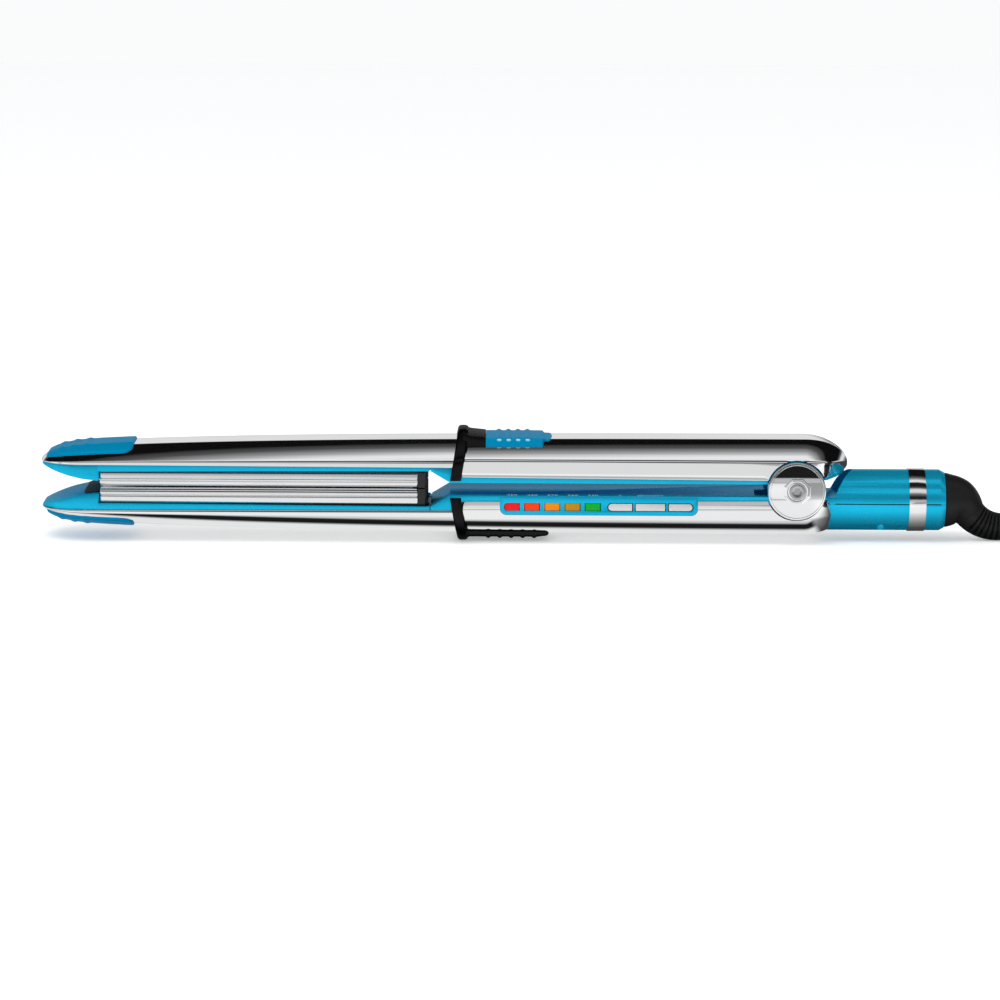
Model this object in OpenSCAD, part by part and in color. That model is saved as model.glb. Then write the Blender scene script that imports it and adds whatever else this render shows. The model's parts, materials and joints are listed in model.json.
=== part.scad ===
// Hair straightening iron: two hinged arms with floating heated plates, a swivel cord and a tied hank.
// Frame: +X from the nose to the tail, +Z up, millimetres. The arms lie one above the other, closed.
// Pieces are drawn about the hinge axis and moved to their place by at_hinge().

/* [Arms] */
// Distance from the hinge axis to the nose
nose_reach = 295.5; // [285:0.5:305]
// Width across the arms
arm_w = 36; // [35:0.5:38]
// Height of the crown above the middle plane at the hinge
crown_rear = 19; // [18.6:0.2:20]
// How much lower the crown is at the nose than at the hinge
crown_taper = 5.2; // [4.6:0.2:5.4]
// Length over which the crown rises
taper_len = 80; // [60:1:100]
// Extra drop of the crown at the rounded nose
nose_drop = 4.2; // [3.6:0.2:4.6]
// Length of the rounding at the nose seen from above
nose_round = 17; // [14:1:20]
// Half width of the blunt end of the nose
nose_half = 4; // [3:0.5:6]
// Half width of the flat strip along the crown
crown_flat = 8; // [7:0.5:9]
// Wall of the chromed shells
shell_wall = 1.2; // [1:0.1:1.4]
// Height of the front shell edge above the middle plane, at the nose
edge_nose = 8.9; // [8.7:0.1:9.2]
// Height of the front shell edge above the middle plane, at the collar
edge_collar = 8.4; // [8.2:0.1:8.6]
// Height of the handle shell edge above the middle plane, at the collar
edge_handle = 4.7; // [4.4:0.1:5]
// Height of the handle shell edge above the middle plane, at the hinge
edge_hinge = 3.9; // [3.7:0.1:4.2]
// Height of the foot of the bevel in the handle
bevel_foot = 11.5; // [11:0.1:12]
// Length of the rounded rear end behind the start of its curve
rear_round = 17.3; // [16:0.1:18]
// Where the rear rounding starts behind the hinge axis
rear_start = 3.6; // [3:0.1:4.5]
// Drop of the crown over the rear rounding
rear_drop = 10.6; // [9.8:0.2:11]

/* [Plates] */
// Distance from the hinge axis to the front end of the plates
plate_front = 271.8; // [265:0.2:274]
// Length of the plates
plate_len = 124; // [115:0.5:126]
// Width of the plates
plate_w = 32; // [31:0.5:32.5]
// Height of the side of each plate
plate_h = 6; // [5.6:0.1:6.2]
// Wall of the plates
plate_wall = 1.8; // [1.5:0.1:2.2]
// Radius of the long edges of the plates
plate_edge_r = 2; // [1:0.1:2.4]
// Gap between each plate and the middle plane
plate_gap = 0.15; // [0.1:0.05:0.3]
// How far a plate floats into its arm
plate_float = 0.8; // [0.5:0.1:1]
// Length of the black end piece behind each plate
end_piece_len = 3.8; // [3:0.1:4.5]

/* [Collar and pads] */
// Distance from the hinge axis to the middle of the collars
collar_x = 130.6; // [129:0.2:132]
// Width of the collar band along the arm
collar_w = 4.2; // [3.6:0.2:4.8]
// Height of the collar crown above the middle plane
collar_crown = 22; // [21.6:0.1:22.4]
// How far the collar's feet lie in front of its crown
collar_slant = 3.6; // [2:0.2:4.4]
// Thickness of the collar at the sides
collar_wall = 1.6; // [1.2:0.1:2]
// Half width of the thumb pad
thumb_half = 12.2; // [11.5:0.1:12.6]
// Height of the thumb pad above the middle plane
thumb_top = 19.5; // [19.2:0.1:20.2]
// Distance from the hinge axis to the front of the blue thumb pad
thumb_front = 121.4; // [120:0.2:122]
// Distance from the hinge axis to the rear of the thumb pad
thumb_rear = 98.7; // [97:0.2:100]
// Distance from the hinge axis to the end of the finger rest
finger_rear = 96.5; // [94:0.5:98]
// Depth of the finger rest below the middle plane
finger_top = 20.3; // [19.8:0.1:20.6]
// Thickness of the blue pads at the nose
tip_pad_t = 0.9; // [0.7:0.1:1.2]
// Length of the pads on the noses
tip_pad_len = 36.5; // [34:0.5:40]

/* [Panel] */
// Distance from the hinge axis to the front end of the control panel
panel_front = 115.6; // [114:0.2:117]
// Distance from the hinge axis to the rear end of the control panel
panel_rear = 38.6; // [37:0.2:39.6]
// Depth of the panel's lower edge below the middle plane
panel_depth = 9.9; // [9.6:0.1:10.6]
// Radius of the panel's lower corners
panel_r = 2.6; // [1.5:0.1:3]
// Height of the lamp windows and the buttons
window_h = 3.1; // [2.8:0.1:3.2]
// Depth of the middle of the windows below the middle plane
window_z = 6.75; // [6.6:0.05:7]
// Distance from the hinge axis to the front of the first lamp window
lamps_front = 114.2; // [113.6:0.2:114.4]
// Length of one lamp window
lamp_len = 6.3; // [5.5:0.1:6.6]
// Distance from one lamp to the next
lamp_pitch = 7.9; // [7.6:0.1:8]
// Distance from the hinge axis to the front of the first button
buttons_front = 73.7; // [73:0.1:74]
// Length of the plus button
plus_len = 9.8; // [9:0.1:10]
// Length of the power button
power_len = 12; // [11:0.1:12.2]
// Length of the minus button
minus_len = 9.8; // [9:0.1:10]
// Travel of the buttons
button_travel = 0.45; // [0.3:0.05:0.5]

/* [Hinge] */
// Radius of the hinge caps
cap_r = 11.3; // [10.8:0.1:11.5]
// Thickness of the hinge caps
cap_t = 2.2; // [1.8:0.1:2.6]
// Radius of the notch in the shells round the caps
notch_r = 11.9; // [11.8:0.1:12.2]
// Radius of the hinge pin
pin_r = 3; // [2.5:0.1:3.4]
// Running clearance round the hinge pin
pin_gap = 0.05; // [0.03:0.01:0.08]
// Radius of the outer hinge lugs on the lower arm
outer_lug_r = 11.4; // [11:0.1:11.5]
// Radius of the inner hinge lugs on the upper arm
inner_lug_r = 9; // [8:0.1:9.4]
// Thickness of each hinge lug
lug_t = 4.6; // [4:0.1:5]
// Width across the flats of the octagonal boss on the caps
boss_flats = 10.4; // [9.6:0.1:11]
// Radius of the cap screw heads
cap_screw_r = 3.15; // [2.8:0.05:3.4]
// Wire of the torsion spring
spring_wire = 1.3; // [1:0.1:1.5]
// Mean radius of the torsion spring
spring_r = 5; // [4.8:0.1:5.2]

/* [Tail] */
// Radius of the tail
tail_r = 12; // [11.6:0.1:12.3]
// Depth of the tail axis below the middle plane
tail_drop = 6.05; // [5.8:0.05:6.3]
// Distance from the hinge axis to the end of the tail
tail_end = 59; // [57:0.5:61]
// Wall of the tail
tail_wall = 2; // [1.6:0.1:2.4]
// Distance from the hinge axis to the front of the tail ring
ring_front = 44.6; // [43:0.2:46]
// Length of the tail ring
ring_len = 6.6; // [5:0.2:7]
// Height by which the tail ring stands proud
ring_proud = 0.35; // [0.2:0.05:0.6]
// Radius of the elbow where it leaves the tail
elbow_r = 10.7; // [10:0.1:11]
// Radius of the ribbed sleeve at the elbow
sleeve_r0 = 6.4; // [6:0.1:6.8]
// Radius of the ribbed sleeve at the cord
sleeve_r1 = 4.9; // [4.4:0.1:5.2]

/* [Cord] */
// Diameter of the cord
cord_d = 6; // [5.8:0.1:6.2]
// Step between turns and between layers of the hank
hank_step = 6.8; // [6.7:0.05:7]
// Number of loops in the hank
hank_loops = 8; // [4:4:8]
// Straight length of the runs of the hank
hank_run = 70; // [64:1:74]
// Radius of the innermost fold of the hank
fold_r = 18.2; // [18:0.1:20]

/* [Hidden] */
$fn = 48;

// Where the sleeve ends behind the hinge axis, which with the nose sets the middle of the part.
sleeve_reach = 92.5;
hinge_x = (nose_reach - sleeve_reach) / 2;
mid_z = collar_crown;

half_w = arm_w / 2;
nose_round_z = 6;
// Rise of the shell's edge over the rear rounding, and the powers of the arch seen from above.
edge_lift = 4.4;
arch_power = 1.6;
arch_root = 0.8;
inner_lug_y = 7.6;
// Clearance between pieces of one arm that nest, and between the arms and what moves past them.
nest = 0.1;
clear = 0.4;
inner_gap = 2.5;
jaw_gap = 2.6;
nose_gap = 8.1;
lip_inset = 0.5;
rim_t = 1.4;
rim_h = 2.2;
wall = 1.6;
lip_wall = 1.3;
bay_wall = 2.4;
bay_lap = 0.3;
bay_inset = 3.6;
rim_half = half_w - shell_wall - nest - rim_t;
plate_rear = plate_front - plate_len;
tip_pad_rear = nose_reach - tip_pad_len;
pocket_front = plate_front + 0.6;
pocket_rear = plate_rear - end_piece_len - 0.8;
ramp_len = 8;
front_step = 0.2;

// Crown height above the middle plane at x, a distance from the hinge axis towards the tail.
function round_share(x) = min(1, max(0, (x - rear_start) / rear_round));
function dome(u) = 1 - sqrt(max(0, 1 - u * u));
function crown_front(d) = crown_rear - crown_taper * exp(-d / taper_len) - nose_drop * exp(-d / nose_round_z);
function crown(x) = crown_front(x + nose_reach) - rear_drop * dome(round_share(x));
function along(x, x0, x1) = min(1, max(0, (x - x0) / (x1 - x0)));
function mix(a, b, t) = a + (b - a) * t;
function edge_at(x) = x < -collar_x
    ? mix(edge_nose, edge_collar, along(x, -nose_reach, -collar_x))
    : mix(edge_handle, edge_hinge, along(x, -collar_x, 0)) + edge_lift * dome(round_share(x));
function foot(x) = x < -collar_x
    ? mix(edge_at(x), crown(x), 0.2)
    : min(bevel_foot, mix(edge_at(x), crown(x), 0.49));
// Half width seen from above: a blunt rounded nose and a pointed arch at the rear.
function nose_plan(d) = d >= nose_round
    ? half_w
    : nose_half + (half_w - nose_half) * sqrt(max(0, 1 - pow(1 - d / nose_round, 2)));
function rear_plan(x) = half_w * pow(max(0.0001, 1 - pow(round_share(x), arch_power)), arch_root);
function plan(x) = min(nose_plan(max(0, x + nose_reach)), rear_plan(x));

// Half of a cross-section's outline, from the middle of the crown down to the edge, as [y, z].
bevel_steps = 5;
function bevel_drop(u) = 0.6 * u + 0.4 * u * u;
function half_section(w, top, foot_z, edge_z) = concat(
    [for (i = [0:bevel_steps])
        let (u = i / bevel_steps)
        [mix(w * crown_flat / half_w, w, u), top - (top - foot_z) * bevel_drop(u)]],
    [[w, edge_z]]);
function backwards(list) = [for (i = [len(list) - 1:-1:0]) list[i]];
function both_sides(half) = concat(
    [for (i = [len(half) - 1:-1:0]) [-half[i][0], half[i][1]]],
    [for (p = half) p]);

// Closed polyhedron through a list of rings with the same number of points, turned over where $down is set.
$down = false;
module skin(rings) {
    n = len(rings[0]);
    m = len(rings);
    points = [for (ring = rings) each $down ? [for (p = backwards(ring)) [p[0], p[1], -p[2]]] : ring];
    sides = [for (i = [0:m - 2]) for (j = [0:n - 1])
        let (a = i * n + j, b = i * n + (j + 1) % n)
        each [[a, b, b + n], [a, b + n, a + n]]];
    polyhedron(points, concat(
        [[for (j = [n - 1:-1:0]) j]],
        sides,
        [[for (j = [0:n - 1]) (m - 1) * n + j]]));
}

// Places where the arm's outline is sampled along its length.
front_places = [for (d = [0, 0.8, 2, 4, 7, 11, 17, 26, 40, 60, 90, 125]) d - nose_reach];
handle_places = [-collar_x + front_step, -95, -50, -12, rear_start];
rear_places = [for (u = [0.2, 0.4, 0.58, 0.73, 0.85, 0.94, 0.99]) rear_start + u * rear_round];
arm_places = concat(front_places, [-collar_x - front_step], handle_places, rear_places);

// Points on the shell's surface at x, raised by g: across one half at each share of the bevel,
// then both halves.
crown_table = [for (x = arm_places) [x, crown(x)]];
plan_table = [for (x = arm_places) [x, plan(x)]];
foot_table = [for (x = arm_places) [x, foot(x)]];
bevel_table = [for (i = [0:bevel_steps]) [i / bevel_steps, bevel_drop(i / bevel_steps)]];
function lay(x, shares, g) =
    let (w = lookup(x, plan_table), top = lookup(x, crown_table), drop = top - lookup(x, foot_table))
    both_sides([for (u = shares) [mix(w * crown_flat / half_w, w, u), top - drop * lookup(u, bevel_table)
        + g]]);

// Ring of a shell: the outline outside and, inset by the wall, back again inside.
function shell_ring(x) =
    let (w = plan(x), top = crown(x), low = edge_at(x),
         wi = max(0.4 * w, w - shell_wall),
         top_in = max(low + 0.12, top - shell_wall),
         foot_in = min(foot(x), mix(low, top_in, 0.8)),
         outside = both_sides(half_section(w, top, foot(x), low)),
         inside = both_sides(half_section(wi, top_in, foot_in, low)))
    [for (p = concat(outside, backwards(inside))) [x, p[0], p[1]]];

module at_hinge() {
    translate([hinge_x, 0, mid_z]) children();
}
module flip(lower) {
    if (lower) mirror([0, 0, 1]) children();
    else children();
}
// Cylinder about the hinge axis, from y0 to y1.
module barrel(r, y0, y1) {
    translate([0, y1, 0]) rotate([90, 0, 0]) cylinder(r = r, h = y1 - y0);
}
// Cylinder along X.
module rod(r, x0, x1) {
    translate([x0, 0, 0]) rotate([0, 90, 0]) cylinder(r = r, h = x1 - x0);
}
module span(lo, hi) {
    translate(lo) cube(hi - lo);
}

// Extrudes a side view, drawn in x and z, across the arm from -w to w.
module across(w) {
    translate([0, w, 0]) rotate([90, 0, 0]) linear_extrude(2 * w) children();
}

// ---- Outlines of the housings ----

// Height of a housing's inner face above the middle plane.
function jaw(x) = jaw_gap + (nose_gap - jaw_gap) * pow(1 - along(x, -nose_reach, -pocket_front), 1.6);
function inner_face(x) =
    x <= -pocket_front ? jaw(x)
    : x < -pocket_rear ? plate_h + 0.3
    : x < rear_start ? max(inner_gap, mix(plate_h + 1, inner_gap, along(x, -pocket_rear + 0.5,
        -pocket_rear + ramp_len)))
    : max(inner_gap, edge_at(x) - 0.9);
jaw_places = [for (d = [0.6, 2, 4, 7, 11, 17]) d - nose_reach];
seam_places = concat(jaw_places, [-pocket_front]);
band_places = [-pocket_front + 0.01, -pocket_rear];
grip_places = [-pocket_rear + 0.5, -pocket_rear + ramp_len, -collar_x - front_step,
    -collar_x + front_step, -60, 0, rear_start, 8, 12, 16, 19, 20.5];

// Area seen from above inside the arm's outline, inset by g.
module outline(g) {
    xs = concat([for (d = [0, 0.8, 2, 4, 7, 11, 17, 30]) d - nose_reach + g * 0.9], [0, rear_start],
                [for (u = [0.2, 0.4, 0.58, 0.73, 0.85, 0.94]) rear_start + u * (rear_round - g)]);
    polygon(concat([for (x = xs) [x, -plan(x) + g]], [for (i = [len(xs) - 1:-1:0]) [xs[i], plan(xs[i])
        - g]]));
}
// Side view between two curves, given as lists of [x, z].
module band(low, high) {
    polygon(concat(low, [for (i = [len(high) - 1:-1:0]) high[i]]));
}
module lip_profile(xs, lift0, lift1) {
    band([for (x = xs) [x, inner_face(x) + lift0]], [for (x = xs) [x, edge_at(x) + lift1]]);
}
module floor_profile(xs) {
    band([for (x = xs) [x, inner_face(x)]], [for (x = xs) [x, inner_face(x) + wall]]);
}

// Room under the shell that the housing keeps to: low beside the bevel in front of the collar.
module shell_room() {
    linear_extrude(foot(nose_round - nose_reach) - nest) outline(0);
    linear_extrude(20) outline(bay_inset);
    span([-collar_x, -half_w, 0], [rear_start + rear_round, half_w, 20]);
}
// One arm's housing before its hinge lugs: skirt, rim, inner faces and the plate's bay.
module housing_body() {
    bay_top = edge_nose + rim_h;
    difference() {
        intersection() {
            shell_room();
            union() {
                intersection() {
                    linear_extrude(20) difference() { outline(lip_inset); outline(lip_inset + lip_wall); }
                    across(half_w + 1) {
                        lip_profile(seam_places, 0, -0.02);
                        lip_profile(band_places, 0, -0.02);
                        lip_profile(grip_places, 0, -0.02);
                    }
                }
                intersection() {
                    linear_extrude(20) difference() { outline(shell_wall + nest);
                        outline(shell_wall + nest + rim_t); }
                    across(half_w + 1) for (xs = [[-nose_reach + 17, -pocket_front], band_places,
                        grip_places])
                        band([for (x = xs) [x, edge_at(x) - 1]], [for (x = xs) [x, edge_at(x) + rim_h]]);
                }
                intersection() {
                    linear_extrude(20) outline(lip_inset + wall / 2);
                    across(half_w + 1) {
                        floor_profile(seam_places);
                        floor_profile(grip_places);
                        band([for (x = band_places) [x, bay_top - wall]], [for (x = band_places) [x,
                            bay_top]]);
                    }
                }
                // Walls at both ends of the plate's bay.
                span([-pocket_front - bay_wall, -half_w + 2, jaw(-pocket_front - bay_wall)],
                     [bay_lap - pocket_front, half_w - 2, bay_top]);
                span([-pocket_rear - bay_lap, -half_w + 2, plate_h + 1.2], [-pocket_rear + bay_wall,
                    half_w - 2, bay_top]);
            }
        }
        // Slots for the tongues that hold the plate's carrier.
        for (x = [-pocket_front - 1.6, -pocket_rear - bay_lap - 0.1])
            span([x, -tongue_w / 2 - clear, tongue_z - nest], [x + 1.7 + bay_lap, tongue_w / 2 + clear,
                bay_top - wall]);
    }
}

// ---- Chromed shells ----

module shell_body() {
    skin([for (x = arm_places) shell_ring(x)]);
}
module lower_shell() {
    color("silver") at_hinge() difference() {
        let ($down = true) shell_body();
        cap_notch_pair();
        panel_cut(nest);
        rod_at_tail(tail_r + 0.15, 2, tail_end);
    }
}
module upper_shell() {
    color("silver") at_hinge() difference() {
        shell_body();
        cap_notch_pair();
    }
}
module cap_notch_pair() {
    barrel(notch_r, half_w - 6, half_w + 2);
    barrel(notch_r, -half_w - 2, -half_w + 6);
}
module rod_at_tail(r, x0, x1) {
    translate([0, 0, -tail_drop]) rod(r, x0, x1);
}

// ---- Housings ----

// The leads pass the hinge below the lugs, in a bore through the root of the tail.
lead_r = 0.9;
lead_depth = 14.5;
lead_passage_r = 2.3;
// Where the lower arm and the tail make room for the upper arm's rear end as the arms open.
open_floor = -3.4;
rear_tip = rear_start + rear_round;
// Height of the rear end's middle above the hinge axis.
tip_rise = 9.6;
function dish_r(y) =
    let (q = pow(min(1, abs(y) / half_w), 1 / arch_root), x = rear_start + rear_round * pow(max(0,
        1 - q), 1 / arch_power))
    clear + 0.3 + sqrt(x * x + pow(tip_rise * x / rear_tip, 2));
module dish() {
    intersection() {
        rotate([-90, 0, 0]) rotate_extrude($fn = 96) polygon(concat([[0, -half_w]],
            [for (i = [-8:8]) let (y = i * half_w / 8) [dish_r(y), y]], [[0, half_w]]));
        span([2, -half_w, open_floor], [40, half_w, 30]);
    }
}
hollow_front = 24;
cover_front = 10;
tail_end_wall = 3;
module tail_hollow() {
    rod_at_tail(tail_r - tail_wall, hollow_front, tail_end - tail_end_wall);
}
// Posts that the two tail screws draw together across the seam.
post_x = 34;
post_y = 6;
post_r = 2.6;
tail_screw_r = 1;
screw_head_r = 1.9;
head_seat = -7.5;
module each_post() {
    for (y = [-post_y, post_y]) translate([post_x, y, -tail_drop]) children();
}
module tail_posts() {
    intersection() {
        each_post() translate([0, 0, -tail_r]) cylinder(r = post_r, h = 2 * tail_r);
        rod_at_tail(tail_r - tail_wall / 2, post_x - 5, post_x + 5);
    }
}
module screw_bores() {
    each_post() {
        translate([0, 0, head_seat]) cylinder(r = tail_screw_r, h = 14);
        translate([0, 0, -tail_r - 1]) cylinder(r = screw_head_r + 0.3, h = tail_r + 1 + head_seat);
    }
}
module tail_tube() {
    difference() {
        rod_at_tail(tail_r, 8, tail_end);
        tail_hollow();
        rod_at_tail(spigot_r + nest, tail_end - 4, tail_end + 1);
        // Chamfer at the tail's end.
        translate([tail_end - 2, 0, -tail_drop]) rotate([0, 90, 0]) difference() {
            cylinder(r = tail_r + 1, h = 3);
            translate([0, 0, -0.01]) cylinder(r1 = tail_r + 0.01, r2 = tail_r - 1.6, h = 3.02);
        }
    }
}
module lower_housing() {
    color("deepskyblue") at_hinge() {
        lower_body();
        difference() {
            intersection() {
                tail_posts();
                span([0, -half_w, -40], [tail_end, half_w, -tail_drop]);
            }
            screw_bores();
        }
    }
}
module lower_body() {
    difference() {
        union() {
            flip(true) intersection() {
                housing_body();
                span([-nose_reach, -half_w, 0], [rear_start + 14, half_w, 20]);
            }
            panel_plate();
            for (y = [-half_w + 0.3, half_w - 0.3 - lug_t]) difference() {
                barrel(outer_lug_r, y, y + lug_t);
                barrel(pin_r, y - 1, y + lug_t + 1);
            }
            intersection() {
                tail_tube();
                span([0, -half_w, -40], [tail_end, half_w, -tail_drop]);
            }
        }
        barrel(inner_lug_r + clear, -half_w + 0.32 + lug_t, half_w - 0.32 - lug_t);
        barrel(pin_r, -half_w - 1, half_w + 1);
        panel_windows();
        screw_bores();
        board_bores();
        intersection() {
            rod_at_tail(tail_r + nest, cover_front - nest, tail_end + 1);
            span([0, -half_w, -tail_drop], [tail_end + 1, half_w, 30]);
        }
        tail_hollow();
        dish();
        translate([0, 0, -lead_depth]) rod(lead_passage_r, 0, 30);
    }
}
module upper_housing() {
    color("deepskyblue") at_hinge() difference() {
        union() {
            difference() {
                housing_body();
                cap_notch_pair();
                barrel(spring_r + spring_wire + clear, -inner_lug_y, inner_lug_y);
            }
            for (y = [-inner_lug_y - lug_t, inner_lug_y]) {
                barrel(inner_lug_r, y, y + lug_t);
                span([-inner_lug_r, y, 0], [inner_lug_r, y + lug_t, edge_hinge + 2]);
            }
        }
        barrel(pin_r + pin_gap, -half_w, half_w);
    }
}

// ---- Control panel ----

flange = 1.5;
panel_back = -half_w + shell_wall + nest + rim_t;
board_y = -half_w + 5.6;
board_t = 1.6;
board_screw_r = 0.8;
screw_places = [[-panel_front - 0.4, -10.6], [-panel_rear + 0.4, -10.6]];
module panel_shape(g) {
    len_x = panel_front - panel_rear + 2 * g;
    translate([-panel_front - g, -panel_depth - g]) union() {
        translate([0, panel_r]) square([len_x, panel_depth - 3 - panel_r + g]);
        translate([panel_r, 0]) square([len_x - 2 * panel_r, panel_r + 1]);
        for (x = [panel_r, len_x - panel_r]) translate([x, panel_r]) circle(panel_r);
    }
}
// Extrudes a side view in x and z from y0 to y1.
module slab(y0, y1) {
    translate([0, y1, 0]) rotate([90, 0, 0]) linear_extrude(y1 - y0) children();
}
module panel_cut(g) {
    slab(-half_w - 1, -half_w + 4) panel_shape(g);
}
module panel_plate() {
    slab(-half_w + 0.05, -half_w + shell_wall + 0.2) panel_shape(0);
    span([-panel_front - flange, -half_w + shell_wall + nest, -panel_depth - flange],
         [-panel_rear + flange, panel_back, -inner_gap - 0.2]);
    for (p = screw_places) translate([p[0], 0, p[1]]) barrel(1.6, panel_back - 0.6, board_y);
}
module board_bores() {
    for (p = screw_places) translate([p[0], 0, p[1]]) barrel(board_screw_r, board_y - 1.6, board_y + 1);
}
button_lens = [plus_len, power_len, minus_len];
button_gap = 0.9;
function button_x(i) = -buttons_front + (i > 0 ? plus_len + button_gap : 0) + (i > 1 ?
    power_len + button_gap : 0);
function lamp_x(i) = -lamps_front + i * lamp_pitch;
// A window from x to x + l; its ends are round where asked.
module window(x, l, round_front, round_rear, g) {
    h = window_h + 2 * g;
    translate([0, -window_z]) union() {
        translate([x + (round_front ? window_h / 2 : -g), -h / 2])
            square([l - (round_front ? window_h / 2 : -g) - (round_rear ? window_h / 2 : -g), h]);
        if (round_front) translate([x + window_h / 2, 0]) circle(h / 2);
        if (round_rear) translate([x + l - window_h / 2, 0]) circle(h / 2);
    }
}
module panel_windows() {
    slab(-half_w - 1, -half_w + 6) {
        for (i = [0:4]) window(lamp_x(i), lamp_len, i == 0, false, 0.02);
        for (i = [0:2]) window(button_x(i), button_lens[i], i == 0, i == 2, 0.15);
    }
}
module lamp(i, shade) {
    color(shade) at_hinge() {
        slab(-half_w, panel_back + 0.1) window(lamp_x(i), lamp_len, i == 0, false, 0);
        slab(panel_back + 0.02, board_y - 0.9)
            translate([lamp_x(i) - 0.4, -window_z - window_h / 2 - 0.4]) square([lamp_len + 0.8,
                window_h + 0.8]);
    }
}
module lamp_red() { lamp(0, "red"); }
module lamp_coral() { lamp(1, "orangered"); }
module lamp_orange() { lamp(2, "orange"); }
module lamp_amber() { lamp(3, "goldenrod"); }
module lamp_green() { lamp(4, "green"); }
module button(i) {
    color("whitesmoke") at_hinge() {
        slab(-half_w - 0.1, panel_back + 0.2) window(button_x(i), button_lens[i], i == 0, i == 2, 0);
        slab(panel_back + 0.1, panel_back + 0.9)
            translate([button_x(i) - 0.3, -window_z - window_h / 2 - 0.6]) square([button_lens[i] + 0.6,
                window_h + 1.2]);
        translate([button_x(i) + button_lens[i] / 2, board_y - switch_t - button_travel - 0.1, -window_z])
            rotate([90, 0, 0]) cylinder(r = 1.2,
                h = board_y - switch_t - button_travel - 0.1 - panel_back - 0.5);
    }
}
switch_t = 0.8;
module plus_button() { button(0); }
module power_button() { button(1); }
module minus_button() { button(2); }
board_lo = [-panel_front - 2.6, board_y, -13.2];
board_hi = [-panel_rear + 2.6, board_y + board_t, -inner_gap - wall - 0.3];
module circuit_board() {
    color("darkgreen") at_hinge() difference() {
        span(board_lo, board_hi);
        for (p = screw_places) translate([p[0], 0, p[1]]) barrel(board_screw_r, board_y - 1,
            board_y + board_t + 1);
    }
}
module board_parts() {
    color("dimgray") at_hinge() {
        for (i = [0:4]) span([lamp_x(i) + 1.6, board_y - 0.8, -window_z - 1.2], [lamp_x(i) + 4.8,
            board_y, -window_z + 1.2]);
        for (i = [0:2]) translate([button_x(i) + button_lens[i] / 2, 0, -window_z])
            span([-2, board_y - switch_t, -1.6], [2, board_y, 1.6]);
        span([-108, board_y + board_t, -12], [-98, board_y + board_t + 4, -6]);
        span([-90, board_y + board_t, -12.5], [-78, board_y + board_t + 1.6, -5.5]);
        span([-60, board_y + board_t, -12.5], [-52, board_y + board_t + 5, -5]);
    }
}
module board_screws() {
    color("silver") at_hinge() for (p = screw_places) translate([p[0], 0, p[1]]) {
        barrel(board_screw_r, board_y - 1.6, board_y + board_t);
        barrel(1.5, board_y + board_t, board_y + board_t + 0.9);
    }
}

// ---- Nose pads, bumper, collars and thumb pad ----

// Stations of a nose pad as [x, share of the bevel it covers, rise], with three ridges across it.
function pad_ridge(x) = [[x, 0.6, 0], [x + 0.45, 0.6, 0.35], [x + 1.35, 0.6, 0.35], [x + 1.8, 0.6, 0]];
pad_stations = concat(
    [[front_places[2], 0.5, 0], [front_places[3], 0.6, 0]],
    pad_ridge(front_places[4]), [[front_places[5], 0.6, 0]], pad_ridge(front_places[5] + 1),
        pad_ridge(front_places[6]),
    [[front_places[7], 0.6, 0], [-tip_pad_rear, 0.55, 0], [1 - tip_pad_rear, 0.5, 0]]);
seat = 0.03;
function pad_ring(x, k, rise) =
    let (shares = [0, 0.2, 0.4, k])
    [for (p = concat(lay(x, shares, tip_pad_t + rise), backwards(lay(x, shares, seat)))) [x, p[0], p[1]]];
module tip_pad() {
    intersection() {
        skin([for (s = pad_stations) pad_ring(s[0], s[1], s[2])]);
        slice(-nose_reach, -tip_pad_rear);
    }
}
// Everything from x0 to x1, to cut a piece square.
module slice(x0, x1) {
    span([x0, -half_w - 3, -30], [x1, half_w + 3, 30]);
}
// The upper nose pad is the lower one turned over.
module lower_tip_pad() { color("dodgerblue") at_hinge() let ($down = true) tip_pad(); }
module upper_tip_pad() { color("dodgerblue") at_hinge() rotate([180, 0, 0]) let ($down = true) tip_pad(); }

// Grey cushion on the lower jaw's inner face, in front of the plate.
bumper_len = 6;
bumper_half = 12.8;
module lower_bumper() {
    color("dimgray") at_hinge() flip(true) intersection() {
        across(bumper_half) band(
            [for (t = [0:3]) let (x = -pocket_front - bumper_len + t * bumper_len / 3) [x, max(0.2,
                jaw(x) - 1.1)]],
            [for (t = [0:3]) let (x = -pocket_front - bumper_len + t * bumper_len / 3) [x, jaw(x) - 0.02]]);
        linear_extrude(10) translate([-pocket_front - bumper_len / 2, 0]) union() {
            translate([2.5 - bumper_len / 2, -bumper_half]) square([bumper_len - 2.5, 2 * bumper_half]);
            translate([-bumper_len / 2, 2.5 - bumper_half]) square([4, 2 * bumper_half - 5]);
            for (s = [-1, 1]) translate([2.5 - bumper_len / 2, s * (bumper_half - 2.5)]) circle(2.5);
        }
    }
}

// Ring of a collar at x, leaning forward towards its feet; g is its gap from the shell.
function collar_ring(x, crest) =
    let (w = half_w, top = crown(-collar_x + front_step), f = bevel_foot,
         outside = both_sides([[0.42 * w, crest], [0.8 * w, mix(f, crest, 0.5)], [w + collar_wall, f],
             [w + collar_wall, 3.4]]),
         inside = both_sides(half_section(w + 0.02, top + 0.02, f, 3.4)))
    [for (p = concat(outside, backwards(inside)))
        [x - collar_slant * (1 - p[1] / collar_crown), p[0], p[1]]];
module collar_band() {
    skin([collar_ring(-collar_x - collar_w / 2 + 0.6, collar_crown - 0.9),
          collar_ring(-collar_x - collar_w / 2 + 1.2, collar_crown),
          collar_ring(-collar_x + collar_w / 2 - 0.6, collar_crown),
          collar_ring(-collar_x + collar_w / 2 + 0.6, collar_crown - 1.2)]);
}
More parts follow.
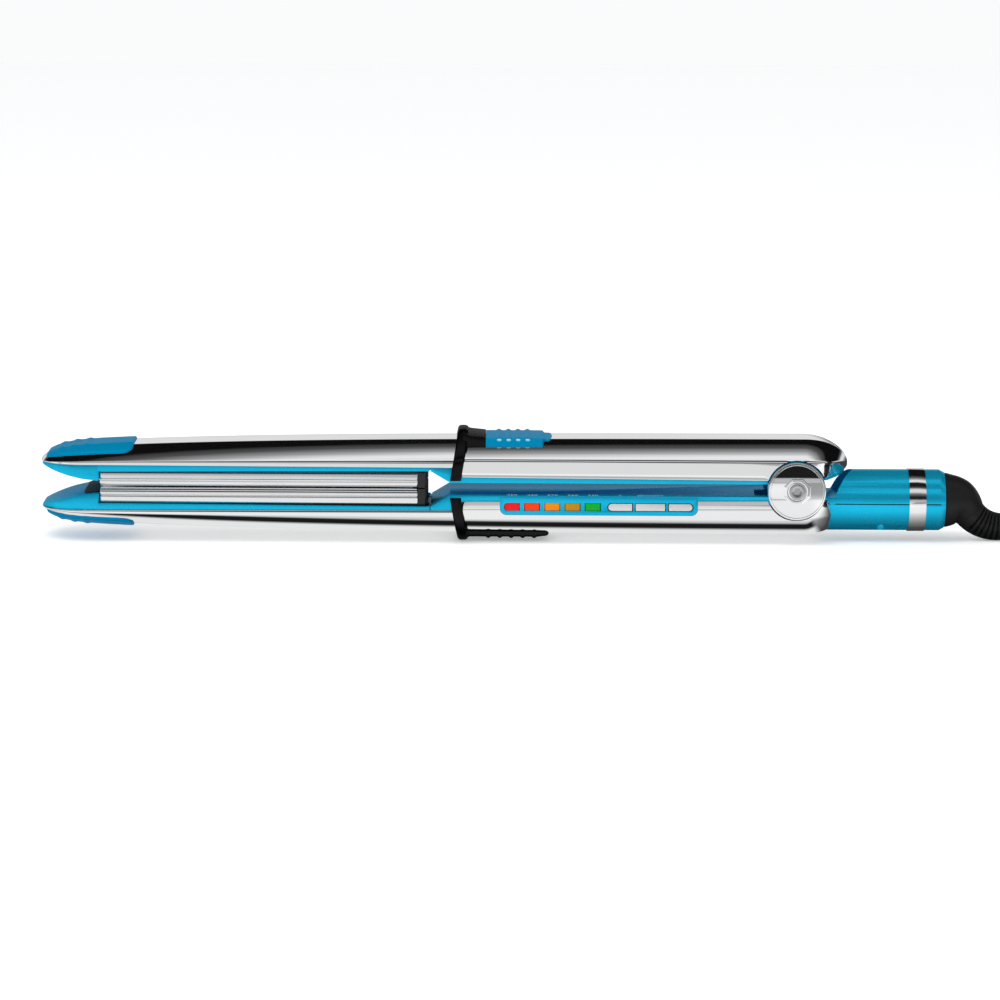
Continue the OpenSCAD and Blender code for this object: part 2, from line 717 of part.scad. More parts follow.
// Block that sits on the crown, through stations of [x, half width, height above the middle plane].
rest_edge = 1;
function rest_ring(x, half, h) =
    let (u = (half - crown_flat) / (half_w - crown_flat),
         under = lay(x, [0, 0.3 * u, 0.7 * u, u], seat),
         side = max(h - rest_edge, under[0][1] + 0.1))
    [for (p = concat([[-half, side], [rest_edge - half, h], [half - rest_edge, h], [half, side]],
                     backwards(under))) [x, p[0], p[1]]];
module rest_block(stations) {
    skin([for (s = stations) rest_ring(s[0], s[1], s[2])]);
}
// Stations of ridges, each ridge_rise high, at the places xs.
ridge_rise = 0.55;
function ridged(xs, half, h) = [for (x = xs) each
    [[x - 1.1, half, h], [x - 0.5, half, h + ridge_rise], [x + 0.5, half, h + ridge_rise], [x + 1.1,
        half, h]]];
module upper_collar() {
    color("black") at_hinge() {
        collar_band();
        rest_block([[-collar_x + front_step, thumb_half, collar_crown - 0.7], [-collar_x + 3, thumb_half,
            thumb_top + 0.6],
                    [-thumb_front, thumb_half, thumb_top]]);
    }
}
finger_half = 8.8;
finger_ridges = [for (i = [0:4]) -120.2 + 4.5 * i];
module lower_collar() {
    color("black") at_hinge() let ($down = true) {
        collar_band();
        rest_block(concat([[-collar_x + front_step, finger_half, collar_crown - 0.7], [-collar_x + 3,
            finger_half, finger_top + 0.2]],
                          ridged(finger_ridges, finger_half, finger_top), [[-finger_rear, finger_half,
                              finger_top - 0.6]]));
    }
}
thumb_ridges = [for (i = [0:3]) -116.2 + 3.73 * i];
tongue_half = 9.3;
module thumb_pad() {
    base = thumb_top - 0.3;
    color("dodgerblue") at_hinge() intersection() {
        rest_block(concat(
            [[-thumb_front - 1, thumb_half, base]], ridged(thumb_ridges, thumb_half, base),
            [[-thumb_rear - 0.8, thumb_half, base], [-thumb_rear, tongue_half, base - 0.2],
             [-thumb_rear + 3.7, tongue_half, crown(-thumb_rear) + 0.4]]));
        slice(-thumb_front + 0.05, 0);
    }
}

// ---- Hinge ----

module hinge_pin() {
    color("silver") at_hinge() difference() {
        barrel(pin_r, -half_w, half_w);
        barrel(1.5, -half_w - 1, -half_w + 9);
        barrel(1.5, half_w - 9, half_w + 1);
    }
}
module cap() {
    difference() {
        union() {
            barrel(cap_r, half_w, half_w + cap_t - 0.6);
            translate([0, half_w + cap_t, 0]) rotate([90, 0, 0]) cylinder(r1 = cap_r - 0.7, r2 = cap_r,
                h = 0.6 + 0.01);
            translate([0, half_w + cap_t + 0.5, 0]) rotate([90, 0, 0]) rotate(22.5)
                cylinder(r = boss_flats / 2 / cos(22.5), h = 1, $fn = 8);
        }
        barrel(1.6, half_w - 1, half_w + 6);
        barrel(cap_screw_r + 0.25, half_w + cap_t - 0.9, half_w + 6);
    }
}
module hinge_cap_far() { color("gainsboro") at_hinge() cap(); }
module hinge_cap_near() { color("gainsboro") at_hinge() mirror([0, 1, 0]) cap(); }
module cap_screws() {
    color("silver") at_hinge() for (m = [0, 1]) mirror([0, m, 0]) difference() {
        union() {
            barrel(cap_screw_r, half_w + cap_t - 0.9, half_w + cap_t + 0.7);
            barrel(1.5, half_w - 7, half_w + cap_t - 0.8);
        }
        translate([0, half_w + cap_t + 1, 0]) rotate([90, 0, 0]) cylinder(r = 1.75, h = 1.4, $fn = 6);
    }
}
module hinge_washers() {
    color("ivory") at_hinge() for (m = [0, 1]) mirror([0, m, 0]) difference() {
        barrel(5.4, inner_lug_y + lug_t + 0.05, half_w - 0.3 - lug_t - 0.05);
        barrel(pin_r + 0.02, 10, half_w);
    }
}

// Tube of n sides through points, square to the path at its ends.
function unit(v) = v / norm(v);
function way(p, i) = unit(p[min(len(p) - 1, i + 1)] - p[max(0, i - 1)]);
function tube_ring(c, t, r, n) =
    let (ref = abs(t[2]) > 0.9 ? [0, 1, 0] : [0, 0, 1], u = unit(cross(ref, t)), v = cross(t, u))
    [for (k = [0:n - 1]) c + r * (cos(360 * k / n) * u - sin(360 * k / n) * v)];
module tube(p, r, n) {
    skin([for (i = [0:len(p) - 1]) tube_ring(p[i], way(p, i), is_list(r) ? r[i] : r, n)]);
}
// The spring winds about the pin; its lower leg lies on the lower arm and its upper leg meets the upper one.
spring_turns = 5.5;
spring_pitch = 1.9;
leg_z = inner_gap - spring_wire / 2 * cos(30) - 0.01;
leg_points = [[-2.2, 0.9 * spring_r], [-4.2, mix(spring_r, leg_z, 0.55)], [-6, leg_z], [-9, leg_z], [-16,
    leg_z]];
module torsion_spring() {
    ya = spring_turns * spring_pitch / 2;
    coil = [for (i = [0:spring_turns * 8]) let (a = 45 * i)
        [spring_r * sin(a), -ya + spring_pitch * i / 8, -spring_r * cos(a)]];
    color("gray") at_hinge()
        tube(concat([for (p = backwards(leg_points)) [p[0], -ya, -p[1]]], coil,
                    [for (p = leg_points) [p[0], ya, p[1]]]), spring_wire / 2, 6);
}

// ---- Plates, heaters and carriers ----

tongue_w = 12;
tongue_z = plate_h + 1.2;
carrier_top = plate_h + 2.3;
module plate_body() {
    translate([-plate_front, 0, 0]) rotate([90, 0, 90]) linear_extrude(plate_len) difference() {
        union() {
            translate([-plate_w / 2, plate_gap + plate_edge_r]) square([plate_w, plate_h - plate_edge_r]);
            translate([-plate_w / 2 + plate_edge_r, plate_gap]) square([plate_w - 2 * plate_edge_r,
                plate_edge_r + 1]);
            for (s = [-1, 1]) translate([s * (plate_w / 2 - plate_edge_r), plate_gap + plate_edge_r])
                circle(plate_edge_r);
        }
        translate([-plate_w / 2 + plate_wall, plate_gap + plate_wall]) square([plate_w - 2 * plate_wall,
            plate_h]);
    }
}
heater_t = 2.2;
module heater_body() {
    span([-plate_front + 6, -8, plate_gap + plate_wall], [-plate_rear - 8, 8,
        plate_gap + plate_wall + heater_t]);
}
spring_places = [-plate_front + 18, -plate_rear - 18];
module carrier_body() {
    low = plate_gap + plate_wall + heater_t;
    side = rim_half - clear;
    difference() {
        union() {
            span([-plate_front + 2, -plate_w / 2 + plate_wall + nest, low + 0.02], [-plate_rear,
                plate_w / 2 - plate_wall - nest, carrier_top]);
            span([-plate_front, -side, plate_gap + plate_h + 0.02], [end_piece_len - 1 - plate_rear,
                side, carrier_top]);
            span([-plate_front - 1.4, -tongue_w / 2, tongue_z], [-plate_front + 1, tongue_w / 2,
                carrier_top]);
            span([-plate_rear - 0.01, -tongue_w / 2, tongue_z], [-pocket_rear + 1.2, tongue_w / 2,
                carrier_top]);
            span([-plate_rear, -plate_w / 2, plate_gap + 0.1],
                 [end_piece_len - 1 - plate_rear, plate_w / 2, plate_gap + plate_h + 0.03]);
            for (i = [-1:1]) translate([-plate_rear + end_piece_len - 1, i * plate_w / 3, plate_gap + 0.1])
                cylinder(r = 1, h = carrier_top - plate_gap - 0.1);
        }
        for (x = spring_places) translate([x, 0, carrier_top - 3]) cylinder(r = 3, h = 4);
    }
}
module upper_plate() { color("silver") at_hinge() plate_body(); }
module lower_plate() { color("silver") at_hinge() flip(true) plate_body(); }
module upper_heater() { color("white") at_hinge() heater_body(); }
module lower_heater() { color("white") at_hinge() flip(true) heater_body(); }
module upper_carrier() { color("black") at_hinge() carrier_body(); }
module lower_carrier() { color("black") at_hinge() flip(true) carrier_body(); }
module thermal_fuse() {
    color("tan") at_hinge() flip(true) {
        translate([0, 11, plate_gap + plate_wall + 1.1]) rod(1.1, -210, -198);
    }
}
plate_spring_r = 2.2;
plate_spring_wire = 0.6;
module plate_springs() {
    z0 = carrier_top - 3 + plate_spring_wire / 2 + 0.02;
    z1 = edge_nose + rim_h - wall - plate_spring_wire / 2 - 0.02;
    for (x = spring_places) tube([for (i = [0:32]) let (a = 360 * i / 8, t = min(1, max(0, (i - 4) / 24)))
        [x + plate_spring_r * cos(a), plate_spring_r * sin(a), mix(z0, z1, t)]], plate_spring_wire / 2, 6);
}
module upper_springs() { color("gray") at_hinge() plate_springs(); }
module lower_springs() { color("gray") at_hinge() flip(true) plate_springs(); }

// ---- Leads inside the arms ----

lead_z = inner_gap + wall + lead_r + 0.1;
module upper_leads() {
    color("red") at_hinge() for (y = [-3, 3])
        tube([[-pocket_rear + 4, y, lead_z + 2], [-pocket_rear + 9, y, lead_z], [-60, y, lead_z], [-13,
            y, lead_z]],
             lead_r, 8);
}
module lower_leads() {
    color("red") at_hinge() flip(true) for (y = [-3, 3])
        tube([[-pocket_rear + 4, y, lead_z + 2], [-pocket_rear + 9, y, lead_z], [-60, y, lead_z],
              [-19, y, lead_z], [-12, y / 2, 10.8], [-4, y / 3, 12.4], [8, y / 3, lead_depth], [14, y / 3, lead_depth],
              [28, y / 3, lead_depth], [38, y / 2, 10], [contact_x - 0.02, y / 2, 7]], lead_r, 8);
}

// ---- Tail ----

spigot_r = 7;
module tail_cover() {
    color("deepskyblue") at_hinge() difference() {
        intersection() {
            union() {
                tail_tube();
                tail_posts();
            }
            span([cover_front, -half_w, -tail_drop], [tail_end, half_w, 30]);
        }
        dish();
        screw_bores();
    }
}
module tail_screws() {
    color("silver") at_hinge() each_post() {
        translate([0, 0, head_seat]) cylinder(r = tail_screw_r, h = 12);
        difference() {
            translate([0, 0, head_seat - 1.4]) cylinder(r = screw_head_r, h = 1.4);
            translate([0, 0, head_seat - 2]) cylinder(r = 0.9, h = 1.4, $fn = 6);
        }
    }
}
module tail_ring() {
    color("gainsboro") at_hinge() difference() {
        rod_at_tail(tail_r + ring_proud, ring_front, ring_front + ring_len);
        rod_at_tail(tail_r + 0.02, ring_front - 1, ring_front + ring_len + 1);
    }
}
contact_x = 46;
module swivel_contacts() {
    color("goldenrod") at_hinge() {
        rod_at_tail(tail_r - tail_wall - 0.02, contact_x, contact_x + 4);
        rod_at_tail(1.5, contact_x + 3, contact_x + 8);
    }
}
// The elbow turns in the tail's end wall on a flanged spigot and bends the cord down by elbow_turn.
elbow_turn = 50;
elbow_x = tail_end + 0.2;
neck_x = elbow_x + 6.7;
neck_r = 8.9;
bend_x = elbow_x + 5.9;
spout_len = 6;
spout_r = 7.8;
module swivel_elbow() {
    color("black") at_hinge() translate([0, 0, -tail_drop]) {
        difference() {
            translate([elbow_x, 0, 0]) rotate([0, 90, 0]) cylinder(r1 = elbow_r, r2 = neck_r,
                h = neck_x - elbow_x);
            // Seat of the sleeve, where it starts inside the neck's lower edge.
            translate([bend_x, 0, 0]) rotate([0, 90 + elbow_turn, 0]) translate([0, 0, spout_len])
                cylinder(r = sleeve_r0 + nest, h = 6);
        }
        translate([bend_x, 0, 0]) rotate([0, 90 + elbow_turn, 0])
            cylinder(r1 = spout_r, r2 = sleeve_r0 + 0.3, h = spout_len);
        difference() {
            union() {
                rod(spigot_r, tail_end - 5, elbow_x + 0.5);
                rod(tail_r - tail_wall - clear, tail_end - 5.8, tail_end - 3 - 0.2);
            }
            rod(1.9, tail_end - 7, tail_end - 3.5);
        }
    }
}
// The sleeve leaves the elbow and bends up again until it lies level on the floor.
sleeve_bend = 15.6;
sleeve_steps = 18;
level_steps = 8;
sleeve_lead = 0.4;
function down_spout(l) = [bend_x + l * cos(elbow_turn), -l * sin(elbow_turn)];
sleeve_start = down_spout(spout_len + 0.12);
arc_start = down_spout(spout_len + 0.12 + sleeve_lead);
sleeve_low = [arc_start[0] + sleeve_bend * sin(elbow_turn),
    arc_start[1] - sleeve_bend * (1 - cos(elbow_turn))];
sleeve_path = concat([[sleeve_start[0], 0, sleeve_start[1]]],
    [for (i = [0:sleeve_steps]) let (a = elbow_turn * (1 - i / sleeve_steps))
        [sleeve_low[0] - sleeve_bend * sin(a), 0, sleeve_low[1] + sleeve_bend * (1 - cos(a))]],
    [for (i = [1:level_steps])
        [mix(sleeve_low[0], sleeve_reach, i / level_steps), 0,
         mix(sleeve_low[1], tail_drop - mid_z + sleeve_r1, min(1, i / (level_steps - 1)))]]);
rib_deep = 0.7;
module strain_relief() {
    n = len(sleeve_path) - 1;
    color("black") at_hinge() translate([0, 0, -tail_drop])
        tube(sleeve_path, [for (i = [0:n]) mix(sleeve_r0, sleeve_r1, min(1, 1.25 * i / n))
            - (i % 2 == 0 && i > 0 && i < n - 1 ? rib_deep : 0)], 12);
}

// ---- Cord, hank, tie and plug ----

// Route of the cord from the sleeve to the middle of the hank's first run, and from the last run to the plug.
cord_route = [[194.05, 0, 4.9], [198, 0, 4.9], [206, -2.4, 4.4], [214, -8, 3.7], [222.5, -15.4, 3.2],
    [231.5, -22.9, 3.05], [241, -28.3, 3.05], [249.5, -30.5, 3.05], [258, -30.7, 3.05], [269, -29.2, 3.35],
    [279, -26.5, 3.9], [286, -24.7, 4.25], [293, -24.1, 4.35]];
plug_route = [[293, -24.1, 24.75], [300, -24.7, 25.1], [307, -26.2, 26.3], [317, -28.6, 29.3], [330,
    -29.6, 32.1],
    [340, -26.9, 33.8], [347.3, -19.6, 35], [350, -9.6, 36], [347.3, 0.4, 36.6], [340, 7.7, 36.8],
    [334, 9.9, 36.8], [328.3, 10.4, 36.8]];
hank_x = 258;
tie_t = 1.2;
tie_len = 10;
waist_in = 6;
hank_layers = 4;
turns_each = hank_loops / hank_layers;
hank_sides = 6;
loop_rings = 24;
run_share = 0.25;
hank_min = fold_r - hank_step / 4;
hank_z = cord_d / 2 + 0.05;
function hank_w(t) = hank_min + hank_step * abs(t % (2 * turns_each) - turns_each);
function climb(t, k) = let (s = min(1, max(0, (t - k) / run_share + 0.5))) s * s * (3 - 2 * s);
function hank_layer(t) = climb(t, turns_each) + climb(t, 2 * turns_each) + climb(t, 3 * turns_each);
// A run's x goes from 0 to hank_run; it is drawn in and lifted at its middle, where the tie goes round.
function run_point(u, side, t) =
    let (pull = (1 - cos(360 * u)) / 2)
    [hank_x + (side > 0 ? 1 - u : u) * hank_run, side * (hank_w(t) - waist_in * pull),
     hank_z + hank_step * hank_layer(t) + (tie_t + 0.1) * pull];
function fold_point(a, x, t) =
    [x + hank_w(t) * cos(a), hank_w(t) * sin(a), hank_z + hank_step * hank_layer(t)];
function hank_point(t) =
    let (p = t - floor(t), h = run_share / 2)
    p <= h ? run_point(0.5 + p / run_share, -1, t)
    : p < 0.5 - h ? fold_point(-90 + 180 * (p - h) / (0.5 - run_share), hank_x + hank_run, t)
    : p <= 0.5 + h ? run_point((p - 0.5 + h) / run_share, 1, t)
    : p < 1 - h ? fold_point(90 + 180 * (p - 0.5 - h) / (0.5 - run_share), hank_x, t)
    : run_point((p - 1 + h) / run_share, -1, t);
hank_path = [for (i = [0:hank_loops * loop_rings]) hank_point(i / loop_rings)];
function total(p, i = 1) = i >= len(p) ? 0 : norm(p[i] - p[i - 1]) + total(p, i + 1);
function off_step(q, a, b) = let (t = (q - a) * (b - a) / ((b - a) * (b - a))) norm(q - mix(a, b, min(1,
    max(0, t))));
function least_gap(p) = min([for (i = [0:len(p) - 1]) for (j = [i + loop_rings / 2:1:len(p) - 2])
    off_step(p[i], p[j], p[j + 1])]) - cord_d;
union() {
    echo(least_gap_between_turns = least_gap(hank_path));
    echo(cord_length = total(cord_route) + total(hank_path) + total(plug_route));
}
module cord_run() { color("black") tube(cord_route, cord_d / 2, 10); }
module cord_hank() { color("black") tube(hank_path, cord_d / 2, hank_sides); }
module cord_tail() { color("black") tube(plug_route, cord_d / 2, 10); }
module hank_tie() {
    w = -plug_route[0][1] + cord_d / 2 + 0.2;
    z0 = tie_t + 0.03;
    z1 = plug_route[0][2] + cord_d / 2 + 0.6;
    color("dimgray") translate([hank_x + (hank_run - tie_len) / 2, 0, 0]) rotate([90, 0, 90])
        linear_extrude(tie_len) difference() {
        translate([-w - tie_t, 0]) square([2 * (w + tie_t), z1 + tie_t]);
        translate([-w, z0]) square([2 * w, z1 - z0]);
    }
}
plug_len = 30;
plug_w = 24;
plug_h = 15;
blade_gap = 12.7;
// Boxes of the two blades, from x0 to x1 in front of and behind the plug's face.
module blade_boxes(x0, x1) {
    for (s = [-1, 1]) span([x0, s * blade_gap / 2 - 0.75, -3.15], [x1, s * blade_gap / 2 + 0.75, 3.15]);
}
module plug_body() {
    end = plug_route[len(plug_route) - 1];
    color("black") translate(end) difference() {
        plug_form();
        translate([-plug_len, 0, 0]) blade_boxes(-1, 4);
    }
}
module plug_form() {
    union() {
        translate([-plug_len, 0, 0]) rotate([90, 0, 90]) linear_extrude(plug_len - 8) union() {
            square([plug_w - 4, plug_h], center = true);
            square([plug_w, plug_h - 4], center = true);
            for (y = [-1, 1], z = [-1, 1]) translate([y * (plug_w / 2 - 2), z * (plug_h / 2 - 2)]) circle(2);
        }
        rotate([0, -90, 0]) cylinder(r1 = cord_d / 2 + 1.3, r2 = plug_h / 2 - 0.2, h = 9);
    }
}
module plug_blades() {
    end = plug_route[len(plug_route) - 1];
    color("goldenrod") translate(end - [plug_len, 0, 0]) difference() {
        blade_boxes(-16, 4);
        translate([-12.5, 0, 0]) barrel(1.6, -10, 10);
    }
}

lower_shell();
lower_housing();
lower_tip_pad();
lower_collar();
lower_bumper();
lamp_red();
lamp_coral();
lamp_orange();
lamp_amber();
lamp_green();
circuit_board();
board_parts();
board_screws();
hinge_pin();
hinge_cap_near();
hinge_cap_far();
cap_screws();
hinge_washers();
torsion_spring();
tail_cover();
tail_ring();
tail_screws();
lower_leads();
lower_springs();
upper_shell();
upper_housing();
upper_tip_pad();
upper_collar();
thumb_pad();
upper_leads();
upper_springs();
upper_plate();
upper_heater();
upper_carrier();
lower_plate();
lower_heater();
lower_carrier();
thermal_fuse();
plus_button();
power_button();
minus_button();
swivel_elbow();
strain_relief();
swivel_contacts();
cord_run();
cord_hank();
cord_tail();
hank_tie();
plug_body();
plug_blades();
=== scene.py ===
# %% [markdown]
# # A hair straightening iron
# The iron is two long chromed arms on one hinge, with heated plates between them, a blue
# moulded core, a row of lamps and keys on the handle, and a mains cord folded into a hank.
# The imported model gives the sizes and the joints; everything drawn here lies over it, in
# metres and in the same frame. Points are worked out in millimetres and scaled at the end.

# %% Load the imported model
import json

import bmesh
import bpy
import numpy as np
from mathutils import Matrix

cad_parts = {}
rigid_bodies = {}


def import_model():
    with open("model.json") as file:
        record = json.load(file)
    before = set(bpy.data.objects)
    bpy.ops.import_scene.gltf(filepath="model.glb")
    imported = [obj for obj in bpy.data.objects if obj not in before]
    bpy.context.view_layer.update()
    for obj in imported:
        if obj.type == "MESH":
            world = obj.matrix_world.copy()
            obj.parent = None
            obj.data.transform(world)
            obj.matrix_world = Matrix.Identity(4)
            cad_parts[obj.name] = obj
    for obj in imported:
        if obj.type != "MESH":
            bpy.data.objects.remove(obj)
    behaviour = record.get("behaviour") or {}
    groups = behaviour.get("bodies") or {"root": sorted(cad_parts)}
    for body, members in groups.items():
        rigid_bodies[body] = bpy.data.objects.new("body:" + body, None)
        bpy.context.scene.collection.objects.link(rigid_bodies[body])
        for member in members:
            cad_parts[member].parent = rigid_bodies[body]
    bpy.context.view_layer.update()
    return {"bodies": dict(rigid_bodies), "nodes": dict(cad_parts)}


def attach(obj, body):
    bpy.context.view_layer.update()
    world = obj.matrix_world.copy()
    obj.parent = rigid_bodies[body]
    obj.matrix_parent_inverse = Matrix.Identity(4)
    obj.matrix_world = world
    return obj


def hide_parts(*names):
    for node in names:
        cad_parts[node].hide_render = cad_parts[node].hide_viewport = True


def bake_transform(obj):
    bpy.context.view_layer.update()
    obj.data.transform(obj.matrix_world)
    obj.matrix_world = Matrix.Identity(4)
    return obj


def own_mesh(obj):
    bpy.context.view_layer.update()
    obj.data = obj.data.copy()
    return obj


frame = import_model()
MM = 0.001
HINGE = np.array([101.5, 0.0, 22.0])

# %% [markdown]
# ## The camera
# A long lens from far away keeps the arms nearly parallel in the view. It looks along +Y
# from a little above the table, and is rolled by a fraction of a degree.

# %% Camera
def new_object(name, data):
    """An object of its own for some data, placed in the scene."""
    obj = bpy.data.objects.new(name, data)
    bpy.context.scene.collection.objects.link(obj)
    return obj


AIM = np.array([-15.6, 0.0, 14.95]) * MM
CAMERA_ELEVATION = np.radians(9.3)
CAMERA_DISTANCE = 1.7
CAMERA_ROLL = np.radians(-0.30)
VIEW_WIDTH = 0.394
SENSOR = 36.0

camera_data = bpy.data.cameras.new("camera")
camera_data.sensor_width = SENSOR
camera_data.lens = SENSOR * CAMERA_DISTANCE / VIEW_WIDTH
camera = new_object("camera", camera_data)
towards_camera = np.array([0, -np.cos(CAMERA_ELEVATION), np.sin(CAMERA_ELEVATION)])
camera.location = AIM + CAMERA_DISTANCE * towards_camera
camera.rotation_euler = (np.pi / 2 - CAMERA_ELEVATION, CAMERA_ROLL, 0)
bpy.context.scene.camera = camera
bpy.context.scene.view_settings.view_transform = "Standard"
print("lens in mm:", round(camera_data.lens, 1))

# %% [markdown]
# ## Making a mesh from arrays
# Every new piece is a grid of points: one index runs along the piece and the other round it.
# Quads join neighbours, and flat caps close the two ends. The arrays go into the mesh in one
# call, which is much quicker than adding vertices one by one.

# %% Grid to mesh
def mesh_piece(name, points, faces, smooth=True, sharp_angle=35):
    """Object from points in millimetres and faces as lists of indices, with normals facing out."""
    mesh = bpy.data.meshes.new(name)
    mesh.from_pydata((np.asarray(points) * MM).tolist(), [], [list(map(int, f)) for f in faces])
    work = bmesh.new()
    work.from_mesh(mesh)
    bmesh.ops.recalc_face_normals(work, faces=work.faces)
    work.to_mesh(mesh)
    work.free()
    if smooth:
        mesh.shade_smooth()
        mesh.set_sharp_from_angle(angle=np.radians(sharp_angle))
    return new_object(name, mesh)


def grid_faces(rows, columns, start=0, close_rows=False, close_columns=True, caps=True):
    """Index lists for a grid: quads between neighbours, and a cap on the first and last row."""
    index = start + np.arange(rows * columns).reshape(rows, columns)
    if close_rows:
        index = np.vstack([index, index[:1]])
    if close_columns:
        index = np.hstack([index, index[:, :1]])
    quads = np.stack([index[:-1, :-1], index[1:, :-1], index[1:, 1:], index[:-1, 1:]], -1)
    faces = quads.reshape(-1, 4).tolist()
    if caps and not close_rows:
        faces += [index[0, :columns][::-1].tolist(), index[-1, :columns].tolist()]
    return faces


def grid_piece(name, grid, **options):
    """One object from a grid of points in millimetres, shaped (rows, columns, 3)."""
    shading = {key: options.pop(key) for key in ("smooth", "sharp_angle") if key in options}
    rows, columns = grid.shape[:2]
    return mesh_piece(name, grid.reshape(-1, 3), grid_faces(rows, columns, **options), **shading)


def grids_piece(name, grids, **shading):
    """One object from several closed grids, each a tube or a loft of its own."""
    points, faces, start = [], [], 0
    for grid in grids:
        rows, columns = grid.shape[:2]
        points.append(grid.reshape(-1, 3))
        faces += grid_faces(rows, columns, start)
        start += rows * columns
    return mesh_piece(name, np.concatenate(points), faces, **shading)


def join(pieces, name):
    """Joins several objects into the first, under a new name."""
    bpy.ops.object.select_all(action="DESELECT")
    for piece in pieces:
        piece.select_set(True)
    bpy.context.view_layer.objects.active = pieces[0]
    bpy.ops.object.join()
    pieces[0].name = name
    return pieces[0]


# %% [markdown]
# ## The cord
# The mains cord is 2.52 m of round black flex, 6 mm thick. It leaves the swivel sleeve level
# with the table, runs to a hank of eight loops in four layers, and ends in a moulded plug that
# lies on top. The centreline repeats the model's route: each loop is two straight runs and two
# half-circle folds, drawn in and lifted at the waist, where a strap holds them.

# %% Route of the cord
CORD_D = 6.0
HANK_STEP, HANK_LOOPS, HANK_LAYERS, HANK_RUN, FOLD_R = 6.8, 8, 4, 70.0, 18.2
HANK_X, TIE_T, WAIST_IN, RUN_SHARE = 258.0, 1.2, 6.0, 0.25
LEAST_GAP, TIE_GAP = 0.05, 0.1
CORD_EXIT = (194.05, 0, 4.9)
TO_HANK = np.array([
    CORD_EXIT, [198, 0, 4.9], [206, -2.4, 4.4], [214, -8, 3.7], [222.5, -15.4, 3.2],
    [231.5, -22.9, 3.05], [241, -28.3, 3.05], [249.5, -30.5, 3.05], [258, -30.7, 3.05],
    [269, -29.2, 3.35], [279, -26.5, 3.9], [286, -24.7, 4.25], [293, -24.1, 4.35]])
TO_PLUG = np.array([
    [293, -24.1, 24.75], [300, -24.7, 25.1], [307, -26.2, 26.3], [317, -28.6, 29.3], [330, -29.6, 32.1],
    [340, -26.9, 33.8], [347.3, -19.6, 35], [350, -9.6, 36], [347.3, 0.4, 36.6], [340, 7.7, 36.8],
    [334, 9.9, 36.8], [328.3, 10.4, 36.8]])


def hank_points(per_loop=48):
    """Centreline of the hank: t counts loops; the width is a triangular wave of t, and the layer
    climbs on a run."""
    t = np.arange(HANK_LOOPS * per_loop + 1) / per_loop
    turns = HANK_LOOPS / HANK_LAYERS
    width = FOLD_R - HANK_STEP / 4 + HANK_STEP * np.abs(t % (2 * turns) - turns)
    level = np.zeros_like(t)
    for k in range(1, HANK_LAYERS):
        s = np.clip((t - k * turns) / RUN_SHARE + 0.5, 0, 1)
        level += s * s * (3 - 2 * s)
    z = CORD_D / 2 + LEAST_GAP + HANK_STEP * level
    p, half = t - np.floor(t), RUN_SHARE / 2
    # Share of a run from its front end, and of a fold as an angle.
    near = (p <= half) | (p >= 1 - half)
    u_near = np.where(p <= half, 0.5 + p / RUN_SHARE, (p - 1 + half) / RUN_SHARE)
    far = np.abs(p - 0.5) <= half
    u_far = 1 - (p - 0.5 + half) / RUN_SHARE
    u = np.where(near, u_near, u_far)
    pull = np.where(near | far, (1 - np.cos(2 * np.pi * u)) / 2, 0)
    side = np.where(near, -1.0, 1.0)
    run = np.stack([HANK_X + u * HANK_RUN, side * (width - WAIST_IN * pull),
                    z + (TIE_T + TIE_GAP) * pull], -1)
    first = (p > half) & (p < 0.5 - half)
    angle = np.where(first, -np.pi / 2 + np.pi * (p - half) / (0.5 - RUN_SHARE),
                     np.pi / 2 + np.pi * (p - 0.5 - half) / (0.5 - RUN_SHARE))
    middle = np.where(first, HANK_X + HANK_RUN, HANK_X)
    fold = np.stack([middle + width * np.cos(angle), width * np.sin(angle), z], -1)
    return np.where((near | far)[:, None], run, fold)


cord_path = np.concatenate([TO_HANK[:-1], hank_points(), TO_PLUG[1:]])

# %% [markdown]
# A tube along a path needs a frame at each point. Here the side vector at each point is square to
# the path and to one fixed up direction, so the tube never twists.

# %% Tube along a path
def full_turn(sides):
    """Evenly spaced angles once round."""
    return np.linspace(0, 2 * np.pi, sides, endpoint=False)


def directions(path):
    """Unit tangents by central differences."""
    step = np.gradient(path, axis=0)
    return step / np.linalg.norm(step, axis=1, keepdims=True)


def tube_grid(path, radius, sides=16, up=(0, 0, 1)):
    """Round tube: each ring is the point plus radius times a circle in the plane square to the path."""
    tangent = directions(path)
    u = np.cross(tangent, np.asarray(up, float))
    u /= np.linalg.norm(u, axis=1, keepdims=True)
    v = np.cross(u, tangent)
    angle = full_turn(sides)[None, :, None]
    circle = np.cos(angle) * u[:, None, :] + np.sin(angle) * v[:, None, :]
    return path[:, None, :] + np.broadcast_to(radius, len(path))[:, None, None] * circle


def smooth_path(points, count):
    """Catmull-Rom curve through the points, sampled at count places."""
    p = np.vstack([2 * points[0] - points[1], points, 2 * points[-1] - points[-2]])
    t = np.linspace(0, len(points) - 1 - 1e-9, count)
    i, f = t.astype(int), (t % 1)[:, None]
    a, b, c, d = p[i], p[i + 1], p[i + 2], p[i + 3]
    square, cube = (2 * a - 5 * b + 4 * c - d) * f**2, (3 * b - a - 3 * c + d) * f**3
    return 0.5 * (2 * b + (c - a) * f + square + cube)


run_path = smooth_path(TO_HANK, 60)
tail_path = smooth_path(TO_PLUG, 60)
cord_line = np.concatenate([run_path[:-1], hank_points(), tail_path[1:]])
cord = grid_piece("mains_cord", tube_grid(cord_line, CORD_D / 2))
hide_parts("cord_run", "cord_hank", "cord_tail")
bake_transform(cord)
print("cord faces:", len(cord.data.polygons))

